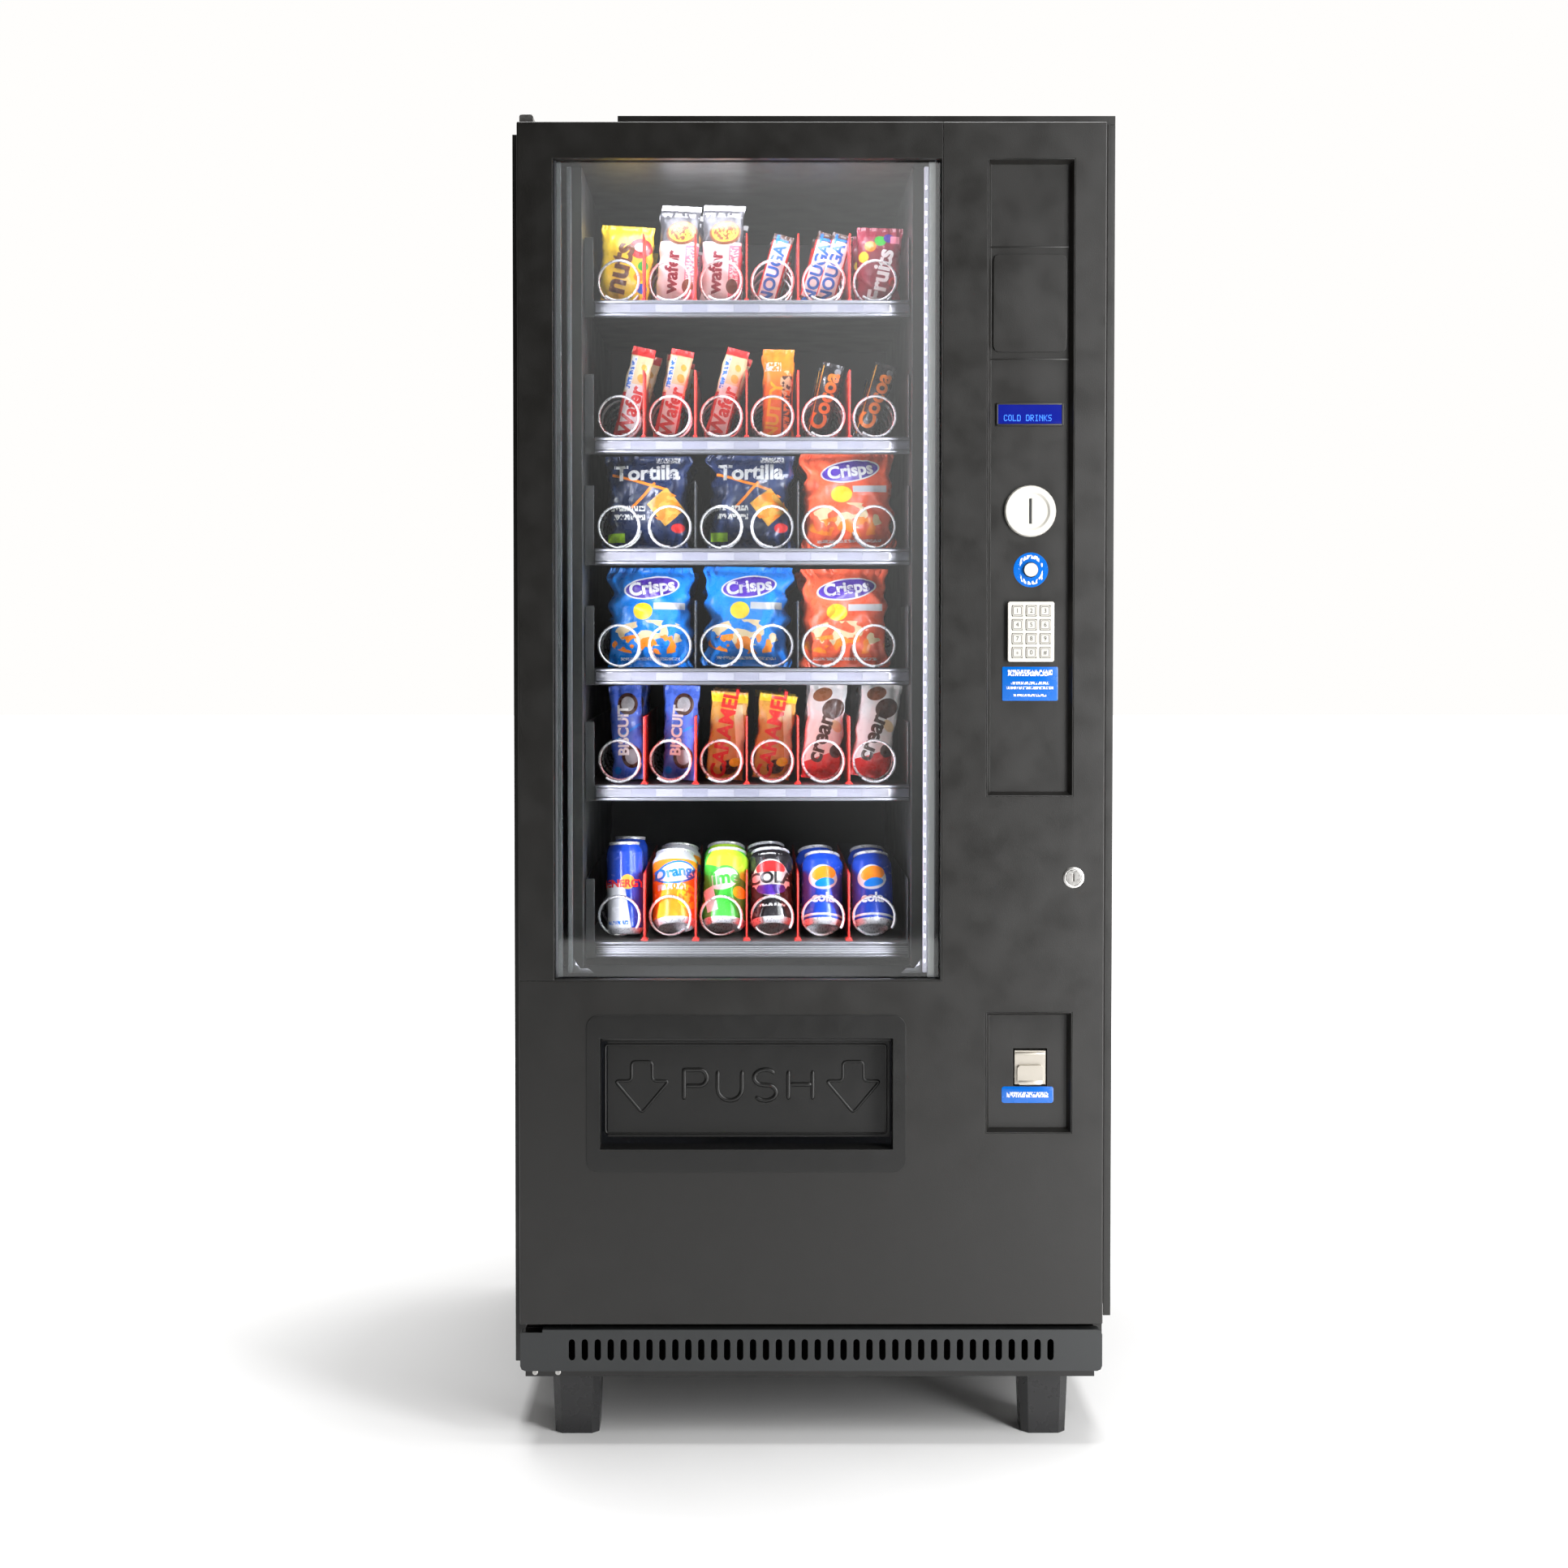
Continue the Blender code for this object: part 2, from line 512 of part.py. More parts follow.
def make_lock():
    origin = (LOCK_AT[0], DOOR_FACE, LOCK_AT[1])
    lock = disc("lock_barrel", LOCK_AT, FRONT, DOOR_FACE - GAP, LOCK_R, "zinc_steel", origin, sides=24)
    add(lock, disc("lock_body", LOCK_AT, DOOR_FACE - MM, DOOR_FACE + 22 * MM, LOCK_R - 1.6 * MM, sides=16))
    keyway = (LOCK_AT[0] - MM, LOCK_AT[0] + MM, LOCK_AT[1] - 5 * MM, LOCK_AT[1] + 5 * MM)
    cut(lock, panel("keyway", keyway, -1.0, DOOR_FACE + 4 * MM))


def make_coin_return():
    plate = panel("coin_return_plate", grown(COIN_BOX, -GAP), DOOR_FACE + GAP, COIN_FLOOR + PANEL_THICK,
                  "black_steel")
    cut(plate, tapered_cutter("coin_recess", grown(COIN_BOX, -MM), DOOR_FACE - MM, COIN_FLOOR, RECESS_SLOPE))
    cup_back = DOOR_FACE + 63 * MM
    add(plate, panel("coin_cup", CUP, COIN_FLOOR + MM, cup_back))
    cut(plate, panel("coin_cup_inside", grown(CUP, -PANEL_THICK), -1.0, cup_back - PANEL_THICK))
    y, z = COIN_HINGE
    left, right, low = 283 * MM, 326 * MM, 504 * MM
    origin = ((left + right) / 2, y, z)
    flap = panel("coin_flap", (left, right, low, z), y - MM, y + 0.5 * MM, "flap_steel", origin)
    scoop = (left + 3.5 * MM, right - 3.5 * MM, low, low + 27 * MM)
    add(flap, panel("coin_scoop", scoop, y - 6 * MM, y, round_by=3 * MM, along="Y", segments=1))
    add(flap, rod("coin_flap_pin", left, right, y, z, 1.8 * MM))


def rod(name, x0, x1, y, z, radius):
    """A horizontal pin along X."""
    bm = bmesh.new()
    bmesh.ops.create_cone(bm, cap_ends=True, segments=12, radius1=radius, radius2=radius, depth=x1 - x0)
    for vert in bm.verts:
        across, up, along = vert.co
        vert.co = Vector(((x0 + x1) / 2 + along, y - across, z + up))
    return place(name, to_mesh(name, bm))


def make_delivery():
    front = DOOR_FACE - 1.2 * MM
    bezel = panel("delivery_bezel", BEZEL, front, DOOR_FACE - GAP, "dark_plastic", round_by=BEZEL_R, along="Y",
                  segments=4)
    add(bezel, panel("bezel_sleeve", grown(MOUTH, SHEET), front, FLAP_HINGE[0] + 3 * MM))
    cut(bezel, panel("mouth", MOUTH, -1.0, 0))
    bin_outer = (-318 * MM, 138 * MM, 398 * MM, 619 * MM)
    bin_front, bin_back = DOOR_FACE + DOOR_SKIN + GAP, -220 * MM
    hopper = panel("delivery_bin", bin_outer, bin_front, bin_back, "grey_steel")
    inside = (bin_outer[0] + DOOR_SKIN, bin_outer[1] - DOOR_SKIN, bin_outer[2] + DOOR_SKIN, 1.0)
    cut(hopper, panel("bin_inside", inside, -1.0, bin_back - DOOR_SKIN))
    y, z = FLAP_HINGE
    origin = ((FLAP[0] + FLAP[1]) / 2, y, z)
    flap = panel("delivery_flap", (FLAP[0], FLAP[1], FLAP[2], z), y - 1.5 * MM, y + 1.5 * MM, "dark_plastic",
                 origin)
    add(flap, rod("delivery_flap_rod", MOUTH[0] + 0.5 * MM, MOUTH[1] - 0.5 * MM, y, z, 4 * MM))


clear_scene()
PARTS = new_collection("snack_vending_machine")
CUTTERS = new_collection("cutters")
make_cabinet()
make_base()
make_vent_grille()
make_guards()
make_hinges()
make_uprights()
for tray_number, tray_top in enumerate(TRAY_TOPS, start=1):
    make_tray(tray_number, tray_top)
for coil_number, coil_lane in enumerate(LANES, start=1):
    make_coil(coil_number, coil_lane)
make_cooling()
make_door_shell()
make_window()
make_control_column()
make_coin_return()
make_delivery()
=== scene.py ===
"""Looks of the glass-front snack vending machine: finishes, small parts, stock, studio light and camera.

Lengths written in a call are millimetres in the machine's own frame: X to the right, Y to the
rear, Z up from the floor. at() and the mesh builders turn them into metres.
"""
import math
import random

import bmesh
import bpy
from mathutils import Matrix, Vector, noise
from mathutils.bvhtree import BVHTree


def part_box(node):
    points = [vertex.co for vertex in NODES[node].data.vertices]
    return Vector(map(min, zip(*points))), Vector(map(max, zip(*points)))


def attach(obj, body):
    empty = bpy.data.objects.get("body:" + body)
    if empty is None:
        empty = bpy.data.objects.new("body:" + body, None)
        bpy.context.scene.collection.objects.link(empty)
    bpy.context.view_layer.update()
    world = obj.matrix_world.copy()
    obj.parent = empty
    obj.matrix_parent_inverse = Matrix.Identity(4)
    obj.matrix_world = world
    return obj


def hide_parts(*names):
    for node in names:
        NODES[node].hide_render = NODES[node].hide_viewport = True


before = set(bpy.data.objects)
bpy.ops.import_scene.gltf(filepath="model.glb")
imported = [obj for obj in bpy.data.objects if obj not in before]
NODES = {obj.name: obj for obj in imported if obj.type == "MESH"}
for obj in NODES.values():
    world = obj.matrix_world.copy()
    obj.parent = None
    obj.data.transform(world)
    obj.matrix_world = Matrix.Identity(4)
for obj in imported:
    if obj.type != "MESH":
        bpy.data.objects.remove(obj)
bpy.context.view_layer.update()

MM = 0.001
TO_FRONT = Matrix.Rotation(math.radians(90), 4, "X")    # turns what faces up to face the front
TRAY_LIP = 23                       # how far a tray's front lip hangs below its floor
FLOOR_GAP = 1.5                     # height of coils and stock above a tray's floor
TRAY_COUNT, LANE_COUNT = 6, 6
BAG_TRAYS = (3, 4)                  # trays whose packets are two lanes wide
COIL_R, WIRE_R = 29.8, 2.0
COIL_TURNS = 6.5
COIL_PITCH, CAN_PITCH = 80, 95

WHITE, CREAM, GREY = (0.85, 0.85, 0.84), (0.80, 0.62, 0.36), (0.30, 0.30, 0.31)
BLACK, BROWN, COCOA = (0.012, 0.011, 0.012), (0.16, 0.055, 0.02), (0.05, 0.018, 0.010)
RED, MAROON, PINK = (0.62, 0.018, 0.018), (0.24, 0.012, 0.035), (0.80, 0.22, 0.30)
ORANGE, VERMILION, YELLOW = (0.90, 0.24, 0.012), (0.78, 0.10, 0.035), (0.90, 0.62, 0.02)
GOLD, GREEN, LIME = (0.70, 0.36, 0.05), (0.04, 0.42, 0.035), (0.40, 0.70, 0.03)
BLUE, NAVY, VIOLET = (0.008, 0.14, 0.60), (0.010, 0.022, 0.075), (0.06, 0.13, 0.55)
SKY, PURPLE, SILVER = (0.003, 0.19, 0.68), (0.06, 0.02, 0.28), (0.60, 0.61, 0.63)
ROYAL, SLATE, LABEL_BLUE = (0.008, 0.045, 0.36), (0.06, 0.06, 0.065), (0.0, 0.12, 0.52)


# ---------------------------------------------------------------- finishes

class Finish:
    """A Principled material whose colour, roughness and bump come from procedural nodes."""

    def __init__(self, name, color, roughness, metallic=0.0, cloud=5.0, tint=0.10, grain=900.0,
                 grain_bump=0.10, rough_spread=0.06, stretch=(1, 1, 1), **sockets):
        self.material = bpy.data.materials.new(name)
        self.material.use_nodes = True
        self.tree = self.material.node_tree
        self.shader = self.tree.nodes["Principled BSDF"]
        self.shader.inputs["Metallic"].default_value = metallic
        for socket, value in sockets.items():
            self.shader.inputs[socket.replace("_", " ")].default_value = value
        self.place = self.node("TexCoord").outputs["Object"]
        self.color = None
        self.paint(self.noise(cloud, 3.0), tuple(c * (1 + tint) for c in color),
                   under=tuple(c * (1 - tint) for c in color))
        self.link(self.ranged(self.noise(cloud * 7, 4.0, stretch), roughness - rough_spread,
                              roughness + rough_spread), self.shader.inputs["Roughness"])
        self.normal = None
        self.bump(self.noise(grain, 2.0, stretch), grain_bump, 0.4)

    def node(self, kind, **settings):
        made = self.tree.nodes.new("ShaderNode" + kind)
        for key, value in settings.items():
            setattr(made, key, value)
        return made

    def link(self, source, target):
        self.tree.links.new(source, target)

    def mapped(self, location=(0, 0, 0), angle=0.0, scale=(1, 1, 1)):
        """Object coordinates measured from a spot, turned about Y and divided by a size."""
        mapping = self.node("Mapping", vector_type="TEXTURE")
        self.link(self.place, mapping.inputs["Vector"])
        mapping.inputs["Location"].default_value = location
        mapping.inputs["Rotation"].default_value = (0, -math.radians(angle), 0)
        mapping.inputs["Scale"].default_value = scale
        return mapping.outputs[0]

    def noise(self, scale, detail, stretch=(1, 1, 1), angle=0.0):
        """Noise with features about 1/scale metres long, longer along a stretched axis."""
        texture = self.node("TexNoise")
        self.link(self.mapped(angle=angle, scale=stretch), texture.inputs["Vector"])
        texture.inputs["Scale"].default_value = scale
        texture.inputs["Detail"].default_value = detail
        return texture.outputs["Fac"]

    def math(self, operation, first, second):
        made = self.node("Math", operation=operation)
        for socket, value in zip(made.inputs, (first, second)):
            if isinstance(value, (int, float)):
                socket.default_value = value
            else:
                self.link(value, socket)
        return made.outputs[0]

    def ranged(self, source, low, high, start=0.3, end=0.7):
        """Spreads a value from low to high. Noise runs from about 0.3 to 0.7."""
        made = self.node("MapRange")
        self.link(source, made.inputs["Value"])
        for socket, value in zip(("From Min", "From Max", "To Min", "To Max"), (start, end, low, high)):
            made.inputs[socket].default_value = value
        return made.outputs[0]

    def paint(self, mask, color, under=None):
        """Lays a colour over what is there, where the mask is 1."""
        mix = self.node("Mix", data_type="RGBA")
        self.link(mask, mix.inputs[0])
        if self.color is None:
            mix.inputs[6].default_value = (*under, 1)
        else:
            self.link(self.color, mix.inputs[6])
        mix.inputs[7].default_value = (*color, 1)
        self.color = mix.outputs[2]
        self.link(self.color, self.shader.inputs["Base Color"])

    def glow(self, strength):
        self.link(strength, self.shader.inputs["Emission Strength"])

    def bump(self, height, strength, distance_mm):
        made = self.node("Bump")
        made.inputs["Strength"].default_value = strength
        made.inputs["Distance"].default_value = distance_mm * MM
        self.link(height, made.inputs["Height"])
        if self.normal is not None:
            self.link(self.normal, made.inputs["Normal"])
        self.normal = made.outputs[0]
        self.link(self.normal, self.shader.inputs["Normal"])

    def oval(self, x, z, rx, rz, angle=0.0):
        """Mask of an ellipse seen from the front. Sizes are metres."""
        length = self.node("VectorMath", operation="LENGTH")
        self.link(self.mapped((x, 0, z), angle, (rx, 10, rz)), length.inputs[0])
        return self.math("LESS_THAN", length.outputs["Value"], 1.0)

    def bar(self, x, z, rx, rz, angle=0.0):
        """Mask of a rectangle seen from the front. Sizes are metres."""
        absolute = self.node("VectorMath", operation="ABSOLUTE")
        self.link(self.mapped((x, 0, z), angle, (rx, 1, rz)), absolute.inputs[0])
        split = self.node("SeparateXYZ")
        self.link(absolute.outputs[0], split.inputs[0])
        return self.math("LESS_THAN", self.math("MAXIMUM", split.outputs[0], split.outputs[2]), 1.0)

    def strokes(self, mask, pitch_mm, angle=0.0, share=0.5):
        """Cuts a mask into upright marks, like print too small to read."""
        lines = self.noise(1 / (pitch_mm * MM), 0.0, (1, 1, 2.6), angle)
        return self.math("MULTIPLY", mask, self.math("GREATER_THAN", lines, share))

    def crumbs(self, mask, size_mm):
        """Cuts a mask into loose patches, such as pictured crisps."""
        patches = self.noise(1 / (size_mm * MM), 1.0)
        return self.math("MULTIPLY", mask, self.math("GREATER_THAN", patches, 0.5))


def make_finishes():
    """One finish for each material slot of the record, and those of the added parts."""
    def add(name, *values, **options):
        made[name] = Finish(name, *values, **options)
        return made[name]

    made = {}
    powder = dict(grain=750.0, grain_bump=0.22, cloud=3.0, tint=0.08)
    brushed = dict(stretch=(12, 1, 1), grain=2500.0)
    add("black_steel", (0.0062, 0.0056, 0.0046), 0.41, Specular_IOR_Level=0.62, **powder)
    add("grey_steel", (0.028, 0.030, 0.031), 0.46, **powder)
    add("post_steel", (0.012, 0.013, 0.012), 0.46, **powder)
    add("tray_steel", (0.020, 0.021, 0.022), 0.42, **powder)
    add("zinc_steel", (0.58, 0.57, 0.55), 0.32, 1.0, cloud=40.0, tint=0.14, grain=500.0)
    add("bright_wire", (0.86, 0.86, 0.88), 0.30, 0.65, cloud=30.0, grain=1500.0, grain_bump=0.05)
    add("dark_plastic", (0.0065, 0.0064, 0.006), 0.36, grain=1100.0, grain_bump=0.30)
    add("cream_plastic", (0.62, 0.60, 0.55), 0.34, tint=0.03, grain=1500.0, grain_bump=0.06)
    add("light_profile", (0.14, 0.143, 0.155), 0.34, 0.7, tint=0.04, **brushed)
    add("lamp_profile", (0.34, 0.34, 0.35), 0.34, 0.5, tint=0.04, **brushed)
    # A darker, duller copy of the profile finish: painted shade for the left light strip's profile and lens.
    add("shade_darkened_profile", (0.10, 0.11, 0.12), 0.42, 0.4, tint=0.04, **brushed)
    add("flap_steel", (0.60, 0.56, 0.49), 0.34, 0.9, grain_bump=0.15, **brushed)
    add("display_blue", (0.006, 0.012, 0.22), 0.12, grain=60.0, grain_bump=0.01, Coat_Weight=0.5)
    add("window_glass", (0.97, 1.0, 0.985), 0.03, tint=0.004, grain=3.0, grain_bump=0.02,
        rough_spread=0.02, Transmission_Weight=1.0, IOR=1.45)
    add("key_edge", (0.16, 0.155, 0.145), 0.40, tint=0.04)
    add("leg_plastic", (0.020, 0.020, 0.021), 0.28, grain=400.0, grain_bump=0.08)
    add("red_plastic", (0.55, 0.022, 0.016), 0.34, tint=0.05, Subsurface_Weight=0.1)
    add("price_strip", (0.120, 0.121, 0.145), 0.22, tint=0.05, cloud=30.0, Coat_Weight=0.4)
    add("price_card", (0.145, 0.145, 0.165), 0.40, tint=0.03, cloud=60.0)
    add("rubber", (0.015, 0.015, 0.015), 0.70, grain=1200.0, grain_bump=0.2)
    add("can_end", (0.62, 0.62, 0.63), 0.30, 0.65, cloud=60.0, tint=0.05)
    add("mark_black", (0.02, 0.02, 0.02), 0.50)
    add("led_lens", (0.50, 0.49, 0.58), 0.40, tint=0.02, Emission_Color=(0.80, 0.76, 1.0, 1),
        Emission_Strength=0.12)
    add("led_chip", (0.90, 0.90, 1.0), 0.30, tint=0.02, Emission_Color=(0.86, 0.85, 1.0, 1),
        Emission_Strength=1.6)
    add("display_dots", (0.05, 0.22, 0.90), 0.30, Emission_Color=(0.02, 0.20, 1.0, 1),
        Emission_Strength=1.2)
    return made


def brand_free_label(name, width, height, rows):
    """A blue sticker with rows of small white marks that say nothing."""
    label = Finish(name, LABEL_BLUE, 0.25, tint=0.03, Coat_Weight=0.3)
    for z, rx, rz in rows:
        mask = label.bar(0, z * height * MM, rx * width * MM, rz * height * MM)
        label.paint(label.strokes(mask, 1.6, share=0.46), WHITE)
    return label


# ---------------------------------------------------------------- mesh builders

def at(x, y, z):
    return Vector((x, y, z)) * MM


def span(node):
    """Both corners of a CAD node's box in mm."""
    low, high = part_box(node)
    return low / MM, high / MM


def middle(node):
    low, high = span(node)
    return (low + high) / 2


def mesh_from(bm, name, sharp=40):
    bmesh.ops.recalc_face_normals(bm, faces=bm.faces[:])
    mesh = bpy.data.meshes.new(name)
    bm.to_mesh(mesh)
    bm.free()
    mesh.shade_smooth()
    mesh.set_sharp_from_angle(angle=math.radians(sharp))
    return mesh


def round_edges(bm, radius):
    bmesh.ops.bevel(bm, geom=bm.edges[:], offset=radius * MM, segments=2, profile=0.5,
                    affect="EDGES", clamp_overlap=True)


def boxes(name, spans, bevel):
    """One mesh of boxes with rounded edges, each given as x0, x1, y0, y1, z0, z1."""
    bm = bmesh.new()
    for x0, x1, y0, y1, z0, z1 in spans:
        place = Matrix.Translation(at((x0 + x1) / 2, (y0 + y1) / 2, (z0 + z1) / 2))
        size = Matrix.Diagonal(((x1 - x0) * MM, (y1 - y0) * MM, (z1 - z0) * MM, 1))
        bmesh.ops.create_cube(bm, size=1.0, matrix=place @ size)
    round_edges(bm, bevel)
    return mesh_from(bm, name)


def plate(name, outline, y0, y1, bevel=0.3):
    """A closed outline of (x, z) points drawn out along Y."""
    bm = bmesh.new()
    face = bm.faces.new([bm.verts.new(at(x, y0, z)) for x, z in outline])
    drawn = bmesh.ops.extrude_face_region(bm, geom=[face])["geom"]
    drawn = [v for v in drawn if isinstance(v, bmesh.types.BMVert)]
    bmesh.ops.translate(bm, vec=at(0, y1 - y0, 0), verts=drawn)
    round_edges(bm, bevel)
    return mesh_from(bm, name)


def turned(name, profile, sides=48, sharp=30):
    """A profile of (radius, z) points turned about Z, closed where the radius is 0."""
    bm = bmesh.new()
    rings = []
    for radius, z in profile:
        count = 1 if radius == 0 else sides
        rings.append([bm.verts.new(at(radius * math.cos(math.tau * i / sides),
                                      radius * math.sin(math.tau * i / sides), z)) for i in range(count)])
    for below, above in zip(rings, rings[1:]):
        for i in range(sides):
            corners = [below[i % len(below)], below[(i + 1) % len(below)],
                       above[(i + 1) % len(above)], above[i % len(above)]]
            bm.faces.new(list(dict.fromkeys(corners)))
    return mesh_from(bm, name, sharp)


def tube(name, points, radius, cyclic=False, widths=None, sides=3):
    """A wire through points in mm. widths scales the radius at each point."""
    curve = bpy.data.curves.new(name, "CURVE")
    curve.dimensions = "3D"
    curve.bevel_depth = radius * MM
    curve.bevel_resolution = sides
    curve.use_fill_caps = not cyclic
    spline = curve.splines.new("POLY")
    spline.points.add(len(points) - 1)
    spline.use_cyclic_u = cyclic
    for point, co, width in zip(spline.points, points, widths or [1] * len(points)):
        point.co = (*at(*co), 1)
        point.radius = width
    return as_mesh(name, curve)


def as_mesh(name, curve):
    """The mesh of a curve or a text, which is then removed."""
    holder = bpy.data.objects.new(name, curve)
    mesh = bpy.data.meshes.new_from_object(holder)
    mesh.name = name
    mesh.shade_smooth()
    mesh.set_sharp_from_angle(angle=math.radians(50))
    bpy.data.objects.remove(holder)
    (bpy.data.curves if isinstance(curve, bpy.types.Curve) else bpy.data.meshes).remove(curve)
    return mesh


def arc(cx, cz, radius, start, end, steps=12, squash=1.0):
    """Points (x, z) on an arc, by angles in degrees from +X towards +Z."""
    angles = [math.radians(start + (end - start) * i / steps) for i in range(steps + 1)]
    return [(cx + radius * math.cos(a), cz + radius * squash * math.sin(a)) for a in angles]


def rounded_outline(corners, radius):
    """A closed outline with its corners rounded by short curves."""
    out = []
    for i, corner in enumerate(corners):
        here, before, after = Vector(corner), Vector(corners[i - 1]), Vector(corners[(i + 1) % len(corners)])
        start = here + (before - here).normalized() * radius
        end = here + (after - here).normalized() * radius
        for k in range(6):
            t = k / 5
            out.append((start * (1 - t) ** 2 + here * 2 * t * (1 - t) + end * t * t)[:])
    return out


def rounded_rectangle(x0, x1, z0, z1, radius):
    return rounded_outline([(x0, z0), (x1, z0), (x1, z1), (x0, z1)], radius)


def text_data(name, body, size, depth):
    data = bpy.data.curves.new(name, "FONT")
    data.body, data.size, data.extrude = body, size * MM, depth * MM
    data.align_x, data.align_y = "CENTER", "CENTER"
    return data


def linked(name, data, where):
    """An object of the scene at a place in metres."""
    obj = bpy.data.objects.new(name, data)
    obj.location = where
    bpy.context.scene.collection.objects.link(obj)
    return obj


def add_piece(name, data, finish, body, where=(0, 0, 0), turn=(0, 0, 0)):
    """Links a mesh, curve or text at a place in mm, turned by degrees, riding on a body."""
    if not len(data.materials):
        data.materials.append(FINISHES[finish].material if isinstance(finish, str) else finish.material)
    obj = linked(name, data, at(*where))
    obj.rotation_euler = [math.radians(a) for a in turn]
    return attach(obj, body)


def add_boxes(name, spans, finish, body, bevel=0.4, where=(0, 0, 0)):
    add_piece(name, boxes(name, spans, bevel), finish, body, where)


def add_tube(name, points, radius, finish, body, **options):
    add_piece(name, tube(name, points, radius, **options), finish, body)


def screw_mesh(name, radius):
    """A pan-head screw with a cross recess, its head towards -Y."""
    head = turned(name, [(0, 0.6), (radius * 0.22, 0.6), (radius * 0.3, 1.5), (radius * 0.75, 1.6),
                         (radius * 0.95, 1.1), (radius, 0.4), (radius, 0), (0, 0)], sides=20)
    bm = bmesh.new()
    bm.from_mesh(head)
    for angle in (0, 90):
        turn = Matrix.Rotation(math.radians(angle + 45), 4, "Z")
        size = Matrix.Diagonal((radius * 1.2 * MM, radius * 0.2 * MM, 0.5 * MM, 1))
        bmesh.ops.create_cube(bm, size=1.0, matrix=Matrix.Translation(at(0, 0, 1.5)) @ turn @ size)
    bm.to_mesh(head)
    bm.free()
    head.transform(TO_FRONT)
    return head


# ---------------------------------------------------------------- camera, floor and light

def make_camera():
    """The customer's view, a little left of the middle, from chest height."""
    data = bpy.data.cameras.new("view_camera")
    data.sensor_width, data.lens = 36.0, 55.63
    data.shift_x, data.shift_y = 0.018, -0.05
    data.clip_start, data.clip_end = 0.05, 60.0
    camera = linked("view_camera", data, (-0.0815, -3.7632, 1.1299))
    camera.rotation_euler = (math.radians(90 - 1.684), 0, math.radians(-0.075))
    bpy.context.scene.camera = camera


def stage_sheet(name, finish, corners, where=(0, 0, 0)):
    """A flat sheet of the studio. Its glow lights only the window's glass."""
    mesh = bpy.data.meshes.new(name)
    mesh.from_pydata(corners, [], [(0, 1, 2, 3)])
    mesh.materials.append(finish.material)
    sheet = linked(name, mesh, where)
    window = bpy.data.collections.get("window_only")
    if window is None:
        window = bpy.data.collections.new("window_only")
        window.objects.link(NODES["glass"])
    sheet.light_linking.receiver_collection = window
    return sheet


def make_floor():
    """A pale floor that glows away from the machine, so that it meets the white background."""
    finish = Finish("studio_floor", (0.90, 0.90, 0.90), 0.60, tint=0.01, cloud=1.0, grain=300.0,
                    grain_bump=0.02, Emission_Color=(1, 1, 1, 1))
    away = finish.node("VectorMath", operation="LENGTH")
    finish.link(finish.place, away.inputs[0])
    finish.glow(finish.ranged(away.outputs["Value"], 0.0, 1.0, 0.7, 2.6))
    stage_sheet("studio_floor", finish, [(-30, -30, 0), (30, -30, 0), (30, 30, 0), (-30, 30, 0)])


def make_world():
    """White studio: bright behind the machine and above, dim in front so that black steel stays black."""
    world = bpy.data.worlds.new("studio")
    bpy.context.scene.world = world
    world.use_nodes = True
    nodes, links = world.node_tree.nodes, world.node_tree.links
    sky = nodes["Background"]
    sky.inputs["Color"].default_value = (1.0, 0.99, 0.975, 1)
    toward = nodes.new("ShaderNodeVectorMath")
    toward.operation = "DOT_PRODUCT"
    links.new(nodes.new("ShaderNodeTexCoord").outputs["Generated"], toward.inputs[0])
    toward.inputs[1].default_value = Vector((0.45, 0.60, 0.65)).normalized()
    spread = nodes.new("ShaderNodeMapRange")
    links.new(toward.outputs["Value"], spread.inputs["Value"])
    for socket, value in zip(("From Min", "From Max", "To Min", "To Max"), (-0.45, 0.75, 0.015, 0.60)):
        spread.inputs[socket].default_value = value
    seen = nodes.new("ShaderNodeLightPath").outputs["Is Camera Ray"]
    pick = nodes.new("ShaderNodeMix")
    links.new(seen, pick.inputs[0])
    links.new(spread.outputs[0], pick.inputs[2])
    pick.inputs[3].default_value = 1.0
    links.new(pick.outputs[0], sky.inputs["Strength"])


def make_glass_card():
    """A pale card behind the camera, brightest at the upper right, that veils the window's glass."""
    finish = Finish("glass_card", BLACK, 0.90, Emission_Color=(1, 1, 1, 1))
    slope = finish.node("VectorMath", operation="DOT_PRODUCT")
    finish.link(finish.place, slope.inputs[0])
    slope.inputs[1].default_value = (0.60, 0, 0.55)
    finish.glow(finish.ranged(slope.outputs["Value"], 0.0, 2.15, -0.65, 0.95))
    x, z = 1.15, 1.75
    corners = [(-x, 0, -z), (x, 0, -z), (x, 0, z), (-x, 0, z)]
    sheet = stage_sheet("glass_card", finish, corners, (0, -6.0, 1.55))
    sheet.visible_camera = False
    sheet.visible_shadow = False


def area_light(name, where, toward, width, height, power, color=(1, 1, 1), body=None, spread=180):
    data = bpy.data.lights.new(name, "AREA")
    data.shape, data.size, data.size_y = "RECTANGLE", width * MM, height * MM
    data.energy, data.color, data.spread = power, color, math.radians(spread)
    lamp = linked(name, data, at(*where))
    lamp.rotation_euler = (at(*toward) - at(*where)).to_track_quat("-Z", "Y").to_euler()
    if body:
        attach(lamp, body)


def make_lights():
    area_light("key_softbox", (1350, -1800, 1250), (250, -400, 1000), 650, 2400, 64)
    area_light("top_softbox", (0, 250, 4200), (0, 250, 0), 2400, 2400, 195)
    led_color = (0.88, 0.87, 1.0)
    low, high = span("led_left")
    z, height = (low.z + high.z) / 2, high.z - low.z - 30
    for side, x in ((-1, -329), (1, 152)):
        area_light("led_light_left" if side < 0 else "led_light_right", (x, -386, z),
                   (x - side * 120, -330, z), 12, height, 5.5, led_color, "door", 100)
    area_light("cabinet_top_light", (-90, -250, 1788), (-90, -150, 1500), 380, 60, 1.2, led_color, "cabinet")


# ---------------------------------------------------------------- CAD nodes

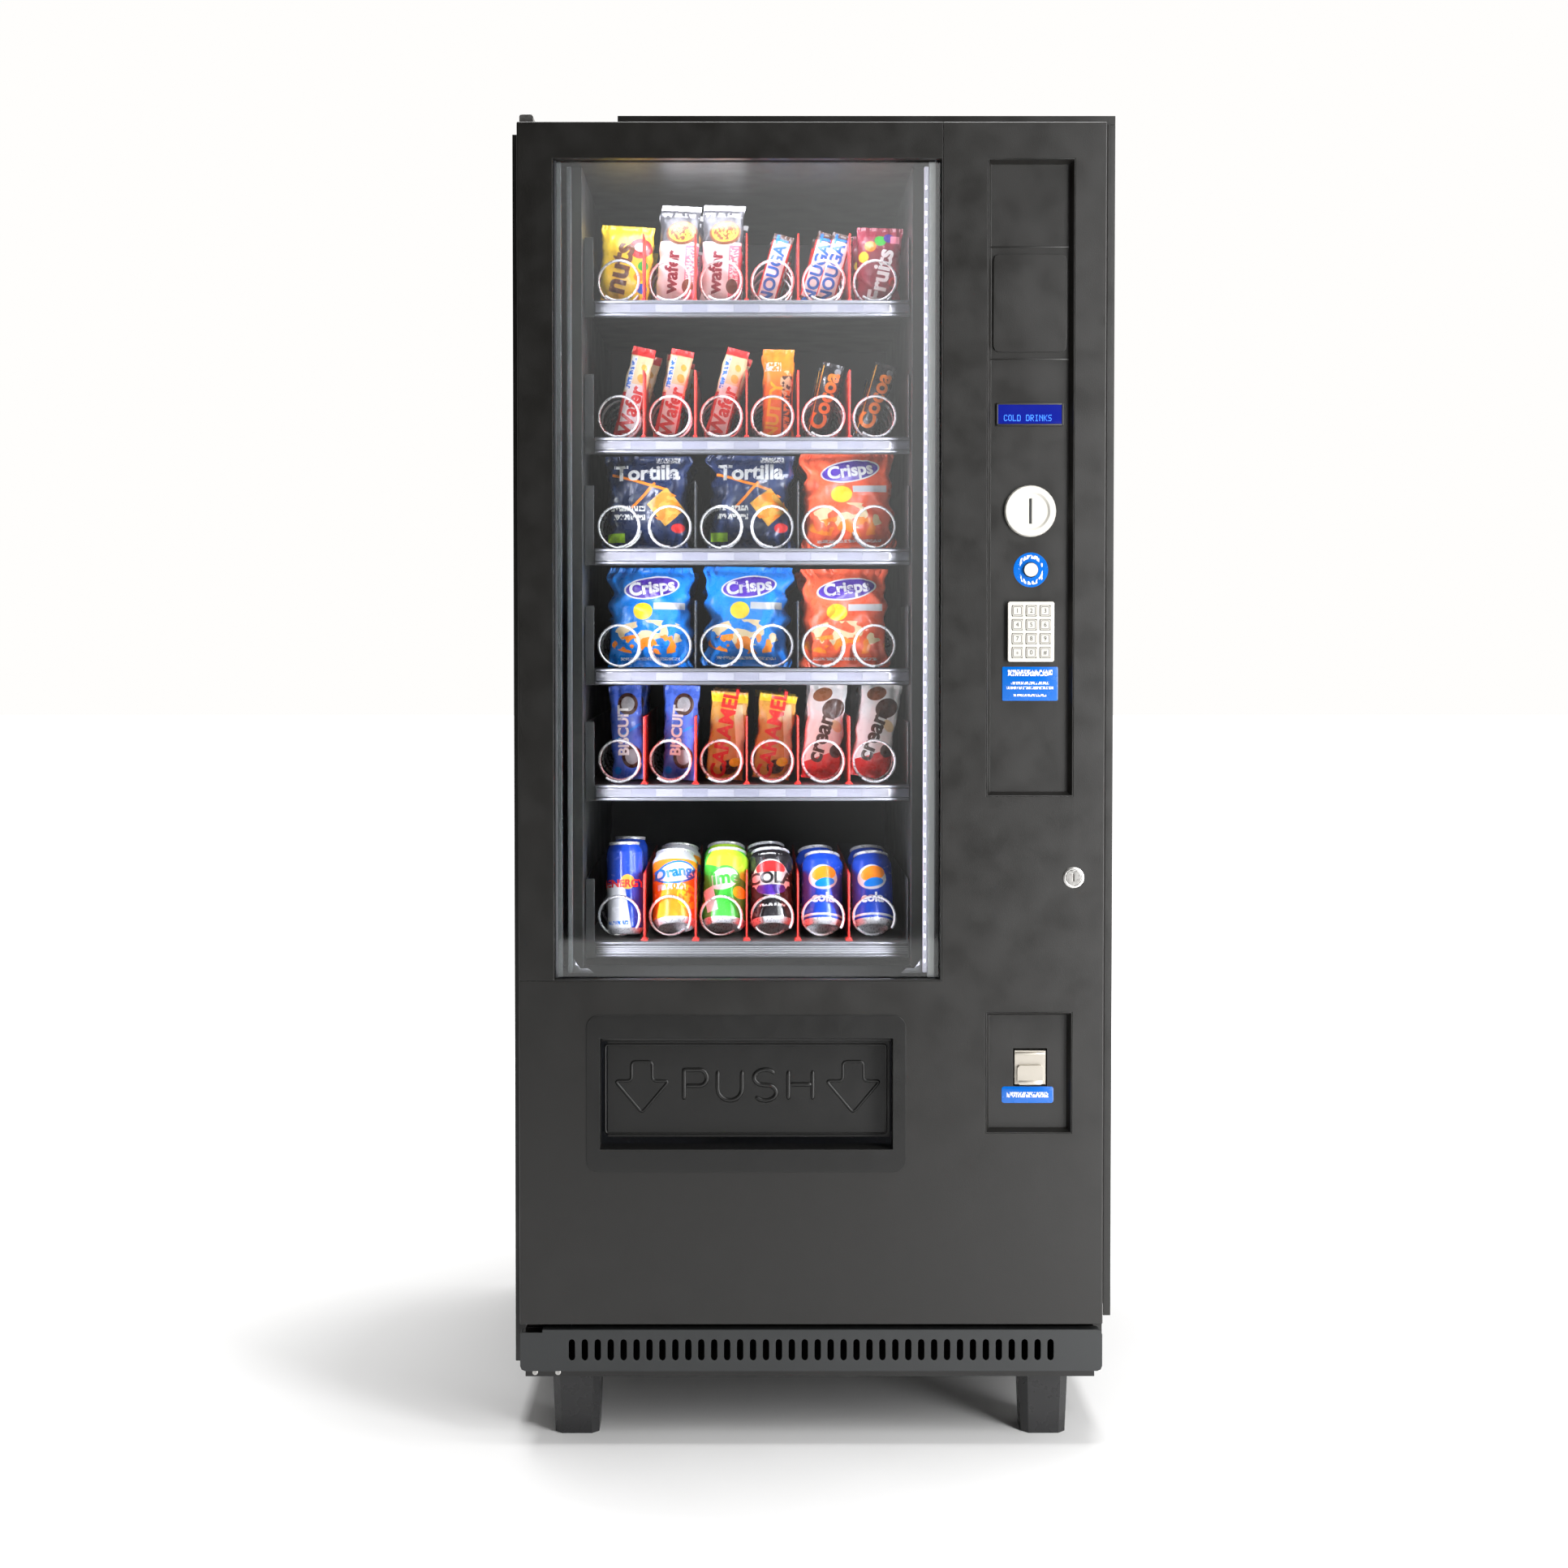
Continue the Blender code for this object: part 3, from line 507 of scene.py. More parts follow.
SHARP_NODES = {"glass", "display"}
# The left light strip's profile takes the darker copy of the profile finish, painted shade.
NODE_FINISH = {"leg_front_left": "leg_plastic", "leg_front_right": "leg_plastic",
               "leg_rear_left": "leg_plastic", "leg_rear_right": "leg_plastic",
               "upright_left": "post_steel", "upright_right": "post_steel", "led_left": "shade_darkened_profile",
               "led_right": "lamp_profile"}


def finish_nodes():
    """Gives every CAD node its finish and fine rounded edges."""
    for name, node in NODES.items():
        slot = node.material_slots[0].material.name
        node.material_slots[0].material = FINISHES[NODE_FINISH.get(name, slot)].material
        node.data.shade_smooth()
        weld = node.modifiers.new("weld", "WELD")
        weld.merge_threshold = 0.01 * MM
        if name not in SHARP_NODES:
            bevel = node.modifiers.new("edges", "BEVEL")
            bevel.width = (0.25 if name.startswith("key_") else 0.5) * MM
            bevel.segments = 2
            bevel.limit_method = "ANGLE"
            bevel.angle_limit = math.radians(35)
        normals = node.modifiers.new("normals", "WEIGHTED_NORMAL")
        normals.keep_sharp = False
        normals.weight = 80


# ---------------------------------------------------------------- trays, coils and dividers

def tray_top(tray):
    return span(f"tray_{tray}")[0].z + TRAY_LIP


def lane_x(lane):
    return middle(f"coil_{lane}").x


def coil_front():
    return span("coil_1")[0].y + WIRE_R


def coil_depth(turns, pitch):
    """How far behind its front a coil has come. The first turn is wound flatter."""
    return pitch * turns * turns / 2 if turns < 1 else pitch * (turns - 0.5)


def coil_path(start, turning, pitch):
    """A coil round the Y axis, starting at an angle in degrees and ending in its shaft."""
    per_turn = 24
    steps = int(COIL_TURNS * per_turn)
    points = []
    for step in range(steps + 1):
        turns = step / per_turn * COIL_PITCH / pitch
        angle = math.radians(start) + turning * math.tau * turns
        points.append((COIL_R * math.cos(angle), coil_depth(turns, pitch), COIL_R * math.sin(angle)))
    end = points[-1][1]
    return points + [(0, end + 12, 0), (0, end + 100, 0)]


COIL_WAYS = {1: (-128, 1), 2: (-128, 1), 3: (-90, 0), 4: (-90, 0), 5: (-128, 1), 6: (-32, 1)}


def make_coils():
    """A coil in every lane. Those of tray 3 stand for the CAD coils, which turn."""
    lift = COIL_R + WIRE_R + FLOOR_GAP
    for tray in range(1, TRAY_COUNT + 1):
        start, turning = COIL_WAYS[tray]
        pitch = CAN_PITCH if tray == 6 else COIL_PITCH
        for lane in range(1, LANE_COUNT + 1):
            way = turning or (1 if lane % 2 else -1)
            key = f"coil_wire_{start}_{way}_{pitch}"
            wire = bpy.data.meshes.get(key) or tube(key, coil_path(start, way, pitch), WIRE_R, sides=2)
            turns = tray == 3
            coil = add_piece(f"coil_wire_{tray}_{lane}", wire, "bright_wire",
                             f"coil_{lane}" if turns else "cabinet",
                             (lane_x(lane), coil_front(), tray_top(tray) + lift))
            if turns:
                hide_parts(f"coil_{lane}")


RAIL_OUTLINE = [(-0.3, 1.2), (-5.2, 1.2), (-6.6, 0), (-6.6, -3.2), (-4.0, -4.2), (-4.0, -17.0),
                (-6.9, -18.0), (-6.9, -20.8), (-5.8, -22.2), (-0.3, -22.2)]


def make_rails():
    """Aluminium rails on the trays' front lips: strips and cards on five, grooves on the last."""
    low, high = span("tray_1")
    left, right, front = low.x + 15, high.x + 0.4, low.y
    rail = plate("price_rail", [(-y, z) for y, z in RAIL_OUTLINE], left, right)
    rail.transform(Matrix.Rotation(math.radians(-90), 4, "Z"))
    strip = boxes("price_strip", [(left + 1, right - 1, -5.3, -4.1, -16.9, -4.3)], 0.3)
    lanes = [lane_x(lane) for lane in range(1, LANE_COUNT + 1)]
    cards = boxes("price_cards", [(x - 19, x + 19, -5.6, -5.3, -15.8, -5.4) for x in lanes], 0.1)
    grooves = [(left + 1, right - 1, -5.4, -3.8, z - 1.3, z) for z in (-6, -9, -12, -15)]
    for tray in range(1, TRAY_COUNT + 1):
        where = (0, front, tray_top(tray))
        add_piece(f"price_rail_{tray}", rail, "light_profile", "cabinet", where)
        if tray == TRAY_COUNT:
            add_boxes("rail_grooves", grooves, "lamp_profile", "cabinet", where=where)
        else:
            add_piece(f"price_strip_{tray}", strip, "price_strip", "cabinet", where)
            add_piece(f"price_cards_{tray}", cards, "price_card", "cabinet", where)


def divider_mesh(name, thick, foot):
    """A lane divider: a thin plate with a thicker front edge, a top bead and a spread foot."""
    spans = [(-thick / 2, thick / 2, 4, 470, 1, 97), (-thick * 0.7, thick * 0.7, 0, 3, 1, 98),
             (-thick * 0.7, thick * 0.7, 2, 470, 96.5, 98.5)]
    if foot:
        spans += [(-5, 5, -2, 26, 0.3, 2.4), (-3, 3, -1, 14, 2.0, 5)]
    return boxes(name, spans, 0.5)


def make_dividers():
    """Red clip-in dividers between single lanes, thin steel ones between pairs of lanes."""
    front = span("tray_1")[0].y + 8
    red = divider_mesh("red_divider", 1.7, True)
    steel = divider_mesh("steel_divider", 1.2, False)
    for tray in range(1, TRAY_COUNT + 1):
        paired = tray in BAG_TRAYS
        for lane in range(1, LANE_COUNT):
            if paired and lane % 2:
                continue
            x = (lane_x(lane) + lane_x(lane + 1)) / 2
            add_piece(f"divider_{tray}_{lane}", steel if paired else red,
                      "tray_steel" if paired else "red_plastic", "cabinet", (x, front, tray_top(tray)))


def make_motors():
    """A row of coil motors on the rear wall of each tray."""
    back = span("tray_1")[1].y
    spans = []
    for lane in range(1, LANE_COUNT + 1):
        x = lane_x(lane)
        spans.append((x - 24, x + 24, back + 1, back + 26, 8, 62))
        spans.append((x - 14, x + 14, back + 26, back + 34, 18, 50))
    motors = boxes("coil_motors", spans, 1.2)
    for tray in range(1, TRAY_COUNT + 1):
        add_piece(f"coil_motors_{tray}", motors, "cream_plastic", "cabinet", (0, 0, tray_top(tray)))


# ---------------------------------------------------------------- stock

def superellipse(angle, power):
    c, s = math.cos(angle), math.sin(angle)
    return (math.copysign(abs(c) ** power, c), math.copysign(abs(s) ** power, s))


def packet_mesh(name, width, height, depth, seed, seam, waist, crease):
    """A filled flow-wrap packet standing on its lower seam: flat crimped ends and a full middle."""
    around, rows = 56, 44
    bm = bmesh.new()
    rings = []
    for row in range(rows + 1):
        z = height * row / rows
        edge = min(z, height - z)
        full = max(0.0, min(1.0, (edge - seam) / (0.30 * height))) if edge > seam else 0.0
        full = math.sin(full * math.pi / 2) ** 0.75
        half_depth = 0.5 + (depth / 2 - 0.5) * full
        half_width = width / 2 * (1 - waist * full) * (1 - 0.015 * math.sin(5 * z / height + seed))
        crimp = 0.35 * math.sin(z * math.tau / 2.4) if edge < seam else 0.0
        ring = []
        for i in range(around):
            cx, cy = superellipse(math.tau * i / around, 0.75)
            x, y = half_width * cx, half_depth * cy + crimp * (1 if abs(cy) > 0.05 else 0)
            near = math.exp(-abs(edge - seam) / (0.16 * height))
            fold = math.sin(x * 0.42 + seed * 1.7) * near * depth * 0.075 * crease
            spot = Vector((x * 0.035, z * 0.03 + seed * 3.1, cy * 0.6))
            wrinkle = (0.5 - abs(noise.noise(spot))) * depth * 0.16 * crease * (0.25 + full)
            y += math.copysign(1, cy) * (fold * 0.6 + wrinkle) * min(1.0, abs(cy) * 1.5)
            x += noise.noise(Vector((seed, z * 0.05, cx))) * width * 0.045 * crease
            ring.append(bm.verts.new(at(x, y, z)))
        rings.append(ring)
    for below, above in zip(rings, rings[1:]):
        for i in range(around):
            j = (i + 1) % around
            bm.faces.new((below[i], below[j], above[j], above[i]))
    bm.faces.new(rings[0])
    bm.faces.new(rings[-1])
    return mesh_from(bm, name, 70)


def can_mesh(name, radius, height, finish):
    """A drinks can with a domed base, necked shoulders, a seamed lid and a ring pull."""
    r = radius
    profile = [(0, 9), (r * 0.45, 7.4), (r * 0.68, 3.2), (r * 0.72, 0.4), (r * 0.76, 0), (r * 0.80, 0.6),
               (r * 0.88, 4), (r * 0.97, 8.5), (r, 12), (r, height - 16), (r * 0.985, height - 13),
               (r * 0.84, height - 4.5), (r * 0.83, height - 2.6), (r * 0.86, height - 0.6),
               (r * 0.84, height), (r * 0.80, height - 0.6), (r * 0.79, height - 4), (0, height - 4)]
    mesh = turned(name, profile, 56, 50)
    mesh.materials.append(finish.material)
    mesh.materials.append(FINISHES["can_end"].material)
    for face in mesh.polygons:
        z = face.center.z / MM
        face.material_index = 1 if z < 8 or z > height - 6 else 0
    bm = bmesh.new()
    bm.from_mesh(mesh)
    size = Matrix.Diagonal((r * 0.34 * MM, r * 0.6 * MM, 1.0 * MM, 1))
    tab = Matrix.Translation(at(0, -r * 0.25, height - 3.2)) @ size
    added = bmesh.ops.create_cube(bm, size=1.0, matrix=tab)["verts"]
    for face in {f for v in added for f in v.link_faces}:
        face.material_index = 1
    bm.to_mesh(mesh)
    bm.free()
    return mesh


# A layer is a shape, its centre and half sizes in percent of the packet's width and height, its
# colour, its turn in degrees and, for strokes and crumbs, their size in mm. The centre is
# measured from the middle of the packet's foot.
CRISP_FRONT = [
    ("oval", 2, 79, 32, 11.5, WHITE, 8), ("oval", 2, 79, 30, 10, PURPLE, 8),
    ("oval", -8, 55, 11, 8.5, YELLOW), ("bar", 22, 60, 18, 3.5, SILVER),
    ("crumbs", 2, 33, 42, 13, CREAM, 0, 22), ("crumbs", 0, 22, 44, 10, ORANGE, 0, 18),
    ("strokes", 0, 8, 34, 1.4, WHITE, 0, 3)]
DESIGNS = {
    "yellow_nuts": (YELLOW, [
        ("oval", 27, 72, 22, 13, RED), ("oval", 27, 73, 12, 6, WHITE), ("oval", 34, 50, 10, 6, GREEN),
        ("oval", 28, 36, 10, 6, ORANGE), ("oval", 34, 22, 10, 6, BLUE), ("bar", 0, 3.5, 50, 2, GOLD)]),
    "wafer_pack": (WHITE, [
        ("bar", 0, 79, 50, 16, SLATE), ("strokes", 0, 90, 46, 2, SILVER, 0, 9),
        ("oval", 6, 72, 38, 12, BROWN, 10), ("oval", 6, 73, 33, 10, GOLD, 10),
        ("crumbs", 6, 73, 28, 8, BROWN, 10, 5), ("bar", 34, 34, 17, 26, PINK),
        ("strokes", 30, 40, 10, 18, WHITE, 90, 4), ("oval", 26, 20, 14, 7, BROWN),
        ("bar", 10, 3, 40, 3, COCOA)]),
    "nougat_bar": (COCOA, [
        ("bar", 0, 50, 42, 40, WHITE), ("bar", 44, 50, 5, 40, RED), ("bar", -44, 50, 4, 40, RED)]),
    "fruit_bag": (MAROON, [
        ("oval", 2, 82, 13, 7, GREEN), ("oval", -20, 74, 13, 7, ORANGE), ("oval", 20, 86, 11, 6, PURPLE),
        ("oval", -34, 60, 11, 7, YELLOW), ("oval", 34, 30, 11, 6, RED), ("bar", 34, 84, 10, 5, PINK)]),
    "cream_wafer": (CREAM, [
        ("bar", 0, 22, 50, 27, RED), ("bar", 4, 32, 36, 27, WHITE), ("bar", -30, 70, 12, 19, WHITE),
        ("strokes", -30, 70, 9, 17, BLUE, 90, 5), ("oval", 18, 66, 16, 5, GOLD, 30),
        ("oval", 20, 78, 12, 4, GOLD, 30), ("bar", 0, 95.5, 50, 5, RED)]),
    "nut_butter_bar": (ORANGE, [
        ("bar", 28, 36, 16, 34, COCOA), ("crumbs", 26, 62, 20, 14, CREAM, 0, 9),
        ("strokes", -18, 80, 26, 5, WHITE, 0, 4), ("strokes", 28, 30, 10, 24, ORANGE, 90, 6)]),
    "black_bar": (BLACK, [
        ("oval", 26, 90, 14, 4.5, GREY), ("bar", -40, 50, 2, 46, GOLD),
        ("strokes", 22, 26, 12, 3, GREY, 0, 4)]),
    "navy_crisps": (NAVY, [
        ("bar", -8, 70, 34, 1.4, ORANGE, -16), ("bar", -4, 56, 20, 1.4, ORANGE, 48),
        ("bar", 22, 44, 15, 15, GOLD, 40), ("crumbs", 22, 44, 18, 15, ORANGE, 20, 11),
        ("strokes", -22, 42, 20, 2.8, WHITE, 0, 4), ("strokes", -20, 33, 18, 2.8, WHITE, 0, 4),
        ("bar", -36, 12, 10, 4.5, LIME), ("oval", 36, 22, 8, 5, RED),
        ("strokes", 24, 95, 14, 3, WHITE, 0, 3)]),
    "orange_crisps": (VERMILION, CRISP_FRONT),
    "blue_crisps": (SKY, CRISP_FRONT),
    "violet_biscuit": (VIOLET, [
        ("oval", 6, 80, 30, 12, COCOA), ("oval", 6, 80, 20, 8, GREY), ("oval", 10, 24, 30, 12, COCOA),
        ("oval", 10, 24, 20, 8, GREY), ("bar", 0, 50, 50, 1.2, SKY, 30), ("oval", -34, 10, 10, 4, SKY)]),
    "gold_bar": ((0.52, 0.25, 0.04), [
        ("bar", 34, 52, 12, 34, CREAM, 8), ("oval", 10, 14, 24, 8, COCOA, 20),
        ("oval", 26, 20, 16, 5, YELLOW, 20), ("bar", 0, 93, 50, 5, YELLOW)]),
    "milk_bar": (WHITE, [
        ("bar", 10, 10, 70, 15, RED, 24), ("oval", 18, 74, 30, 10, COCOA, 35),
        ("oval", -12, 88, 26, 7, BROWN, 25), ("oval", 34, 30, 16, 7, COCOA),
        ("oval", 30, 56, 12, 7, CREAM, 40)]),
    "silver_can": (SILVER, [
        ("bar", 0, 78, 60, 22, ROYAL, 8), ("bar", 34, 30, 28, 30, ROYAL, 8),
        ("oval", 6, 56, 20, 8, GOLD), ("strokes", -20, 12, 26, 2, BLUE, 0, 3)]),
    "orange_can": (ORANGE, [
        ("bar", 0, 90, 60, 6, SILVER), ("oval", 0, 66, 46, 15, BLUE, 10),
        ("oval", 0, 66, 42, 12.5, WHITE, 10), ("oval", 26, 34, 26, 16, YELLOW),
        ("crumbs", 26, 34, 22, 13, ORANGE, 0, 8), ("strokes", -10, 47, 30, 4, WHITE, 0, 6)]),
    "green_can": (GREEN, [
        ("bar", 20, 80, 60, 16, LIME, -24), ("oval", -2, 56, 36, 17, GREEN, 20),
        ("oval", -2, 56, 33, 14, WHITE, 20), ("bar", -30, 30, 12, 16, WHITE, 14),
        ("oval", 34, 40, 14, 8, YELLOW)]),
    "black_can": (BLACK, [
        ("oval", 0, 58, 40, 24, WHITE), ("oval", 0, 70, 32, 10, RED), ("oval", 0, 44, 32, 9, PURPLE),
        ("bar", 0, 57, 41, 8.5, WHITE), ("strokes", 0, 22, 30, 1.6, WHITE, 0, 4),
        ("strokes", 0, 90, 26, 1.2, WHITE, 0, 4)]),
    "blue_can": (ROYAL, [
        ("oval", 0, 62, 34, 17, SILVER), ("oval", 2, 67, 29, 10, ORANGE, 12),
        ("oval", 4, 55, 24, 6, SKY, 12), ("bar", 0, 12, 60, 1.5, SILVER)]),
}


def printed(design, width, height, foil=True):
    """The finish of a packet or can, with its design laid out on its own width and height."""
    base, layers = DESIGNS[design]
    finish = Finish(design, base, 0.30 if foil else 0.22, 0.0 if foil else 0.12, cloud=14.0, grain=70.0,
                    grain_bump=0.45 if foil else 0.05, rough_spread=0.08, Specular_IOR_Level=0.6)
    if foil:
        finish.bump(finish.noise(38.0, 2.0, (0.7, 1, 1.6)), 0.6, 5.0)
    for shape, *spot, color, turn, grain in map(whole_layer, layers):
        outline = finish.oval if shape in ("oval", "crumbs") else finish.bar
        place = [share * side * MM / 100 for share, side in zip(spot, (width, height, width, height))]
        mask = outline(*place, 0 if shape == "strokes" else turn)
        if shape == "strokes":
            mask = finish.strokes(mask, grain * 0.55, turn, 0.47)
        elif shape == "crumbs":
            mask = finish.crumbs(mask, grain)
        finish.paint(mask, color)
    return finish


def whole_layer(layer):
    """A layer with its turn and grain, which may be left out."""
    return (*layer, 0, 0)[:8]


# The plain word on each design: centre as shares of width and height, letter size in mm, turn
# in degrees and colour.
WORDS = {
    "yellow_nuts": ("nuts", -0.10, 0.46, 44, 80, BROWN),
    "wafer_pack": ("wafer", -0.14, 0.33, 27, 88, MAROON),
    "nougat_bar": ("NOUGAT", 0.0, 0.50, 24, 90, BLUE),
    "fruit_bag": ("Fruits", 0.06, 0.38, 34, 80, WHITE),
    "cream_wafer": ("Wafer", 0.06, 0.30, 28, 86, RED),
    "nut_butter_bar": ("NUTTY", -0.12, 0.32, 25, 84, YELLOW),
    "black_bar": ("Cocoa", 0.0, 0.50, 32, 86, ORANGE),
    "navy_crisps": ("Tortilla", 0, 0.80, 32, 2, WHITE),
    "orange_crisps": ("Crisps", 0.02, 0.79, 26, 8, WHITE),
    "blue_crisps": ("Crisps", 0.02, 0.79, 26, 8, WHITE),
    "violet_biscuit": ("BISCUIT", -0.10, 0.52, 21, 88, WHITE),
    "gold_bar": ("CARAMEL", -0.06, 0.52, 30, 84, RED),
    "milk_bar": ("cream", -0.06, 0.46, 33, 78, COCOA),
    "silver_can": ("ENERGY", 0.0, 0.54, 15, 0, RED),
    "orange_can": ("Orange", 0.0, 0.665, 22, 8, BLUE),
    "green_can": ("lime", -0.02, 0.57, 27, 8, GREEN),
    "black_can": ("COLA", 0.0, 0.57, 24, 0, BLACK),
    "blue_can": ("cola", 0.0, 0.34, 20, 0, WHITE),
}

# Packets by tray: design, lane (1.5 is between lanes 1 and 2), width, height, depth, sideways
# offset and lean in degrees. Cans: design, lane, radius, height, sideways offset and lean.
STOCK = {
    1: [("yellow_nuts", 1, 76, 118, 26, 8, 4), ("wafer_pack", 2, 60, 150, 24, 11, 3),
        ("wafer_pack", 3, 60, 150, 24, 1, 2), ("nougat_bar", 4, 31, 107, 20, 4, 16),
        ("nougat_bar", 5, 31, 111, 20, -6, 17), ("nougat_bar", 5, 31, 109, 20, 16, 16),
        ("fruit_bag", 6, 66, 118, 26, 8, 2)],
    2: [("cream_wafer", 1, 34, 138, 20, 20, 13), ("cream_wafer", 2, 34, 134, 20, 4, 12),
        ("cream_wafer", 3, 34, 136, 20, 8, 15), ("nut_butter_bar", 4, 45, 136, 22, 9, 1),
        ("black_bar", 5, 33, 114, 20, 4, 13), ("black_bar", 6, 33, 114, 20, 4, 17)],
    3: [("navy_crisps", 1.5, 126, 139, 44, 2, 0), ("navy_crisps", 3.5, 126, 139, 44, 6, 1),
        ("orange_crisps", 5.5, 138, 144, 44, 1, -1)],
    4: [("blue_crisps", 1.5, 128, 147, 44, 6, 0), ("blue_crisps", 3.5, 130, 147, 44, 0, 1),
        ("orange_crisps", 5.5, 130, 145, 44, -4, 0)],
    5: [("violet_biscuit", 1, 49, 139, 26, 9, -3), ("violet_biscuit", 2, 51, 139, 26, 14, 2),
        ("gold_bar", 3, 55, 129, 24, 8, 4), ("gold_bar", 4, 55, 124, 24, 4, 6),
        ("milk_bar", 5, 57, 141, 26, 3, 5), ("milk_bar", 6, 59, 141, 26, 5, 9)],
    6: [("silver_can", 1, 26.5, 134, 9, 0), ("orange_can", 2, 33, 114, 7, 2), ("green_can", 3, 33, 116, 4, 1),
        ("black_can", 4, 33, 116, 0, -1), ("blue_can", 5, 30.5, 112, -1, 0),
        ("blue_can", 6, 30.5, 112, -1, -1)],
}
ROWS_DEEP, CAN_ROWS = 4, 2
TURNS_BEFORE_STOCK = 1.36           # turns of a coil in front of its first packet
CAN_START = 24                      # first can's foot behind the coil's front
CAN_TILT, SLIM_CAN_TILT, SLIM_CAN_R = 24, 9, 30


def word_mesh(design, width, height):
    """The design's word as a fine flat mesh in the packet's XZ plane."""
    text, x, z, size, turn, _ = WORDS[design]
    data = text_data("word", text, size, 0)
    data.offset = 0.035 * size * MM
    data.resolution_u = 4
    mesh = as_mesh("word", data)
    place = Matrix.Translation(at(x * width, 0, z * height)) @ Matrix.Rotation(math.radians(-turn), 4, "Y")
    mesh.transform(place @ TO_FRONT)
    return mesh


def ink(color):
    if color not in INKS:
        INKS[color] = Finish(f"ink_{len(INKS) + 1}", color, 0.30, tint=0.04)
    return INKS[color]


def print_word(mesh, design, width, height):
    """Lays the design's word on the packet's front, as the mesh's last material."""
    bm = bmesh.new()
    bm.from_mesh(word_mesh(design, width, height))
    step = 3.0                          # the word is cut this often, so that it bends with the front
    for axis in (Vector((1, 0, 0)), Vector((0, 0, 1))):
        for k in range(-30, 60):
            bmesh.ops.bisect_plane(bm, geom=bm.verts[:] + bm.edges[:] + bm.faces[:],
                                   plane_co=axis * k * step * MM, plane_no=axis)
    body = BVHTree.FromPolygons([v.co for v in mesh.vertices], [p.vertices for p in mesh.polygons])
    for vert in bm.verts:
        hit = body.ray_cast(Vector((vert.co.x, -1, vert.co.z)), Vector((0, 1, 0)))[0]
        vert.co.y = (hit.y if hit else 0) - 0.35 * MM
    for face in bm.faces:
        face.material_index = len(mesh.materials)
    mesh.materials.append(ink(WORDS[design][-1]).material)
    bm.from_mesh(mesh)
    bm.to_mesh(mesh)
    bm.free()


def lane_centre(lane):
    low = math.floor(lane)
    return lane_x(low) + (lane_x(min(low + 1, LANE_COUNT)) - lane_x(low)) * (lane - low)


def stock_finish(design, *size, **options):
    """The design's finish, made for the first packet or can that carries it."""
    if design not in STOCK_FINISHES:
        STOCK_FINISHES[design] = printed(design, *size, **options)
    return STOCK_FINISHES[design]


def printed_packet(key, design, width, height, depth, seed, bag):
    """A packet's mesh with its print and word, made once for each key."""
    mesh = bpy.data.meshes.get(key)
    if mesh is None:
        seam, waist, crease = (8, 0.09, 1.9) if bag else (6, 0.04, 1.3)
        mesh = packet_mesh(key, width, height, depth, seed, seam, waist, crease)
        mesh.materials.append(STOCK_FINISHES[design].material)
        print_word(mesh, design, width, height)
    return mesh


def make_packets():
    """Packets one behind another in the gaps of each coil."""
    for tray in range(1, TRAY_COUNT):
        for place in range(len(STOCK[tray])):
            make_packet_row(tray, place)


def make_packet_row(tray, place):
    design, lane, width, height, depth, shift, lean = STOCK[tray][place]
    bag = tray in BAG_TRAYS
    finish = stock_finish(design, width, height)
    first = coil_front() + coil_depth(TURNS_BEFORE_STOCK, COIL_PITCH) + (6 if bag else 0)
    x = lane_centre(lane) + shift - math.tan(math.radians(lean)) * height / 2
    z = tray_top(tray) + FLOOR_GAP + abs(math.sin(math.radians(lean))) * width / 2
    for row in range(ROWS_DEEP):
        seed = tray * 7 + place * 3 + row % 2
        mesh = printed_packet(f"packet_{tray}_{place}_{row % 2}", design, width, height, depth, seed, bag)
        loose = min(row, 1)
        where = (x + RANDOM.uniform(-2, 2) * loose, first + row * COIL_PITCH, z)
        turn = (-3 - RANDOM.uniform(0, 2), lean + RANDOM.uniform(-3, 3) * loose, RANDOM.uniform(-3, 3))
        add_piece(f"{design}_{tray}_{place + 1}_{row + 1}", mesh, finish, "cabinet", where, turn)


def make_cans():
    """Cans that lie back in their coils, so that their domed bases show."""
    top = tray_top(6)
    for place, (design, lane, radius, height, shift, lean) in enumerate(STOCK[6], start=1):
        finish = stock_finish(design, 2 * radius, height, foil=False)
        mesh = bpy.data.meshes.get(f"can_{design}")
        if mesh is None:
            mesh = can_mesh(f"can_{design}", radius, height, finish)
            print_word(mesh, design, 2 * radius, height)
        tilt = CAN_TILT if radius > SLIM_CAN_R else SLIM_CAN_TILT
        lift = FLOOR_GAP + radius * math.sin(math.radians(tilt))
        for row in range(CAN_ROWS):
            where = (lane_x(lane) + shift, coil_front() + CAN_START + row * CAN_PITCH, top + lift)
            turn = (-tilt, lean + RANDOM.uniform(-1, 1), RANDOM.uniform(-8, 8))
            add_piece(f"{design}_{place}_{row + 1}", mesh, finish, "cabinet", where, turn)


# ---------------------------------------------------------------- the door's front

def ridge_widths(count, ends=4):
    """Radius shares that round off both ends of a raised line."""
    shares = [math.sqrt(1 - (1 - i / ends) ** 2) if i < ends else 1 for i in range(count)]
    return [max(0.12, min(a, b)) for a, b in zip(shares, reversed(shares))]


def resampled(points, step=1.6):
    """The same line with points about one step apart."""
    out = [Vector(points[0])]
    for a, b in zip(points, points[1:]):
        a, b = Vector(a), Vector(b)
        count = max(1, round((b - a).length / step))
        out += [a.lerp(b, i / count) for i in range(1, count + 1)]
    return out


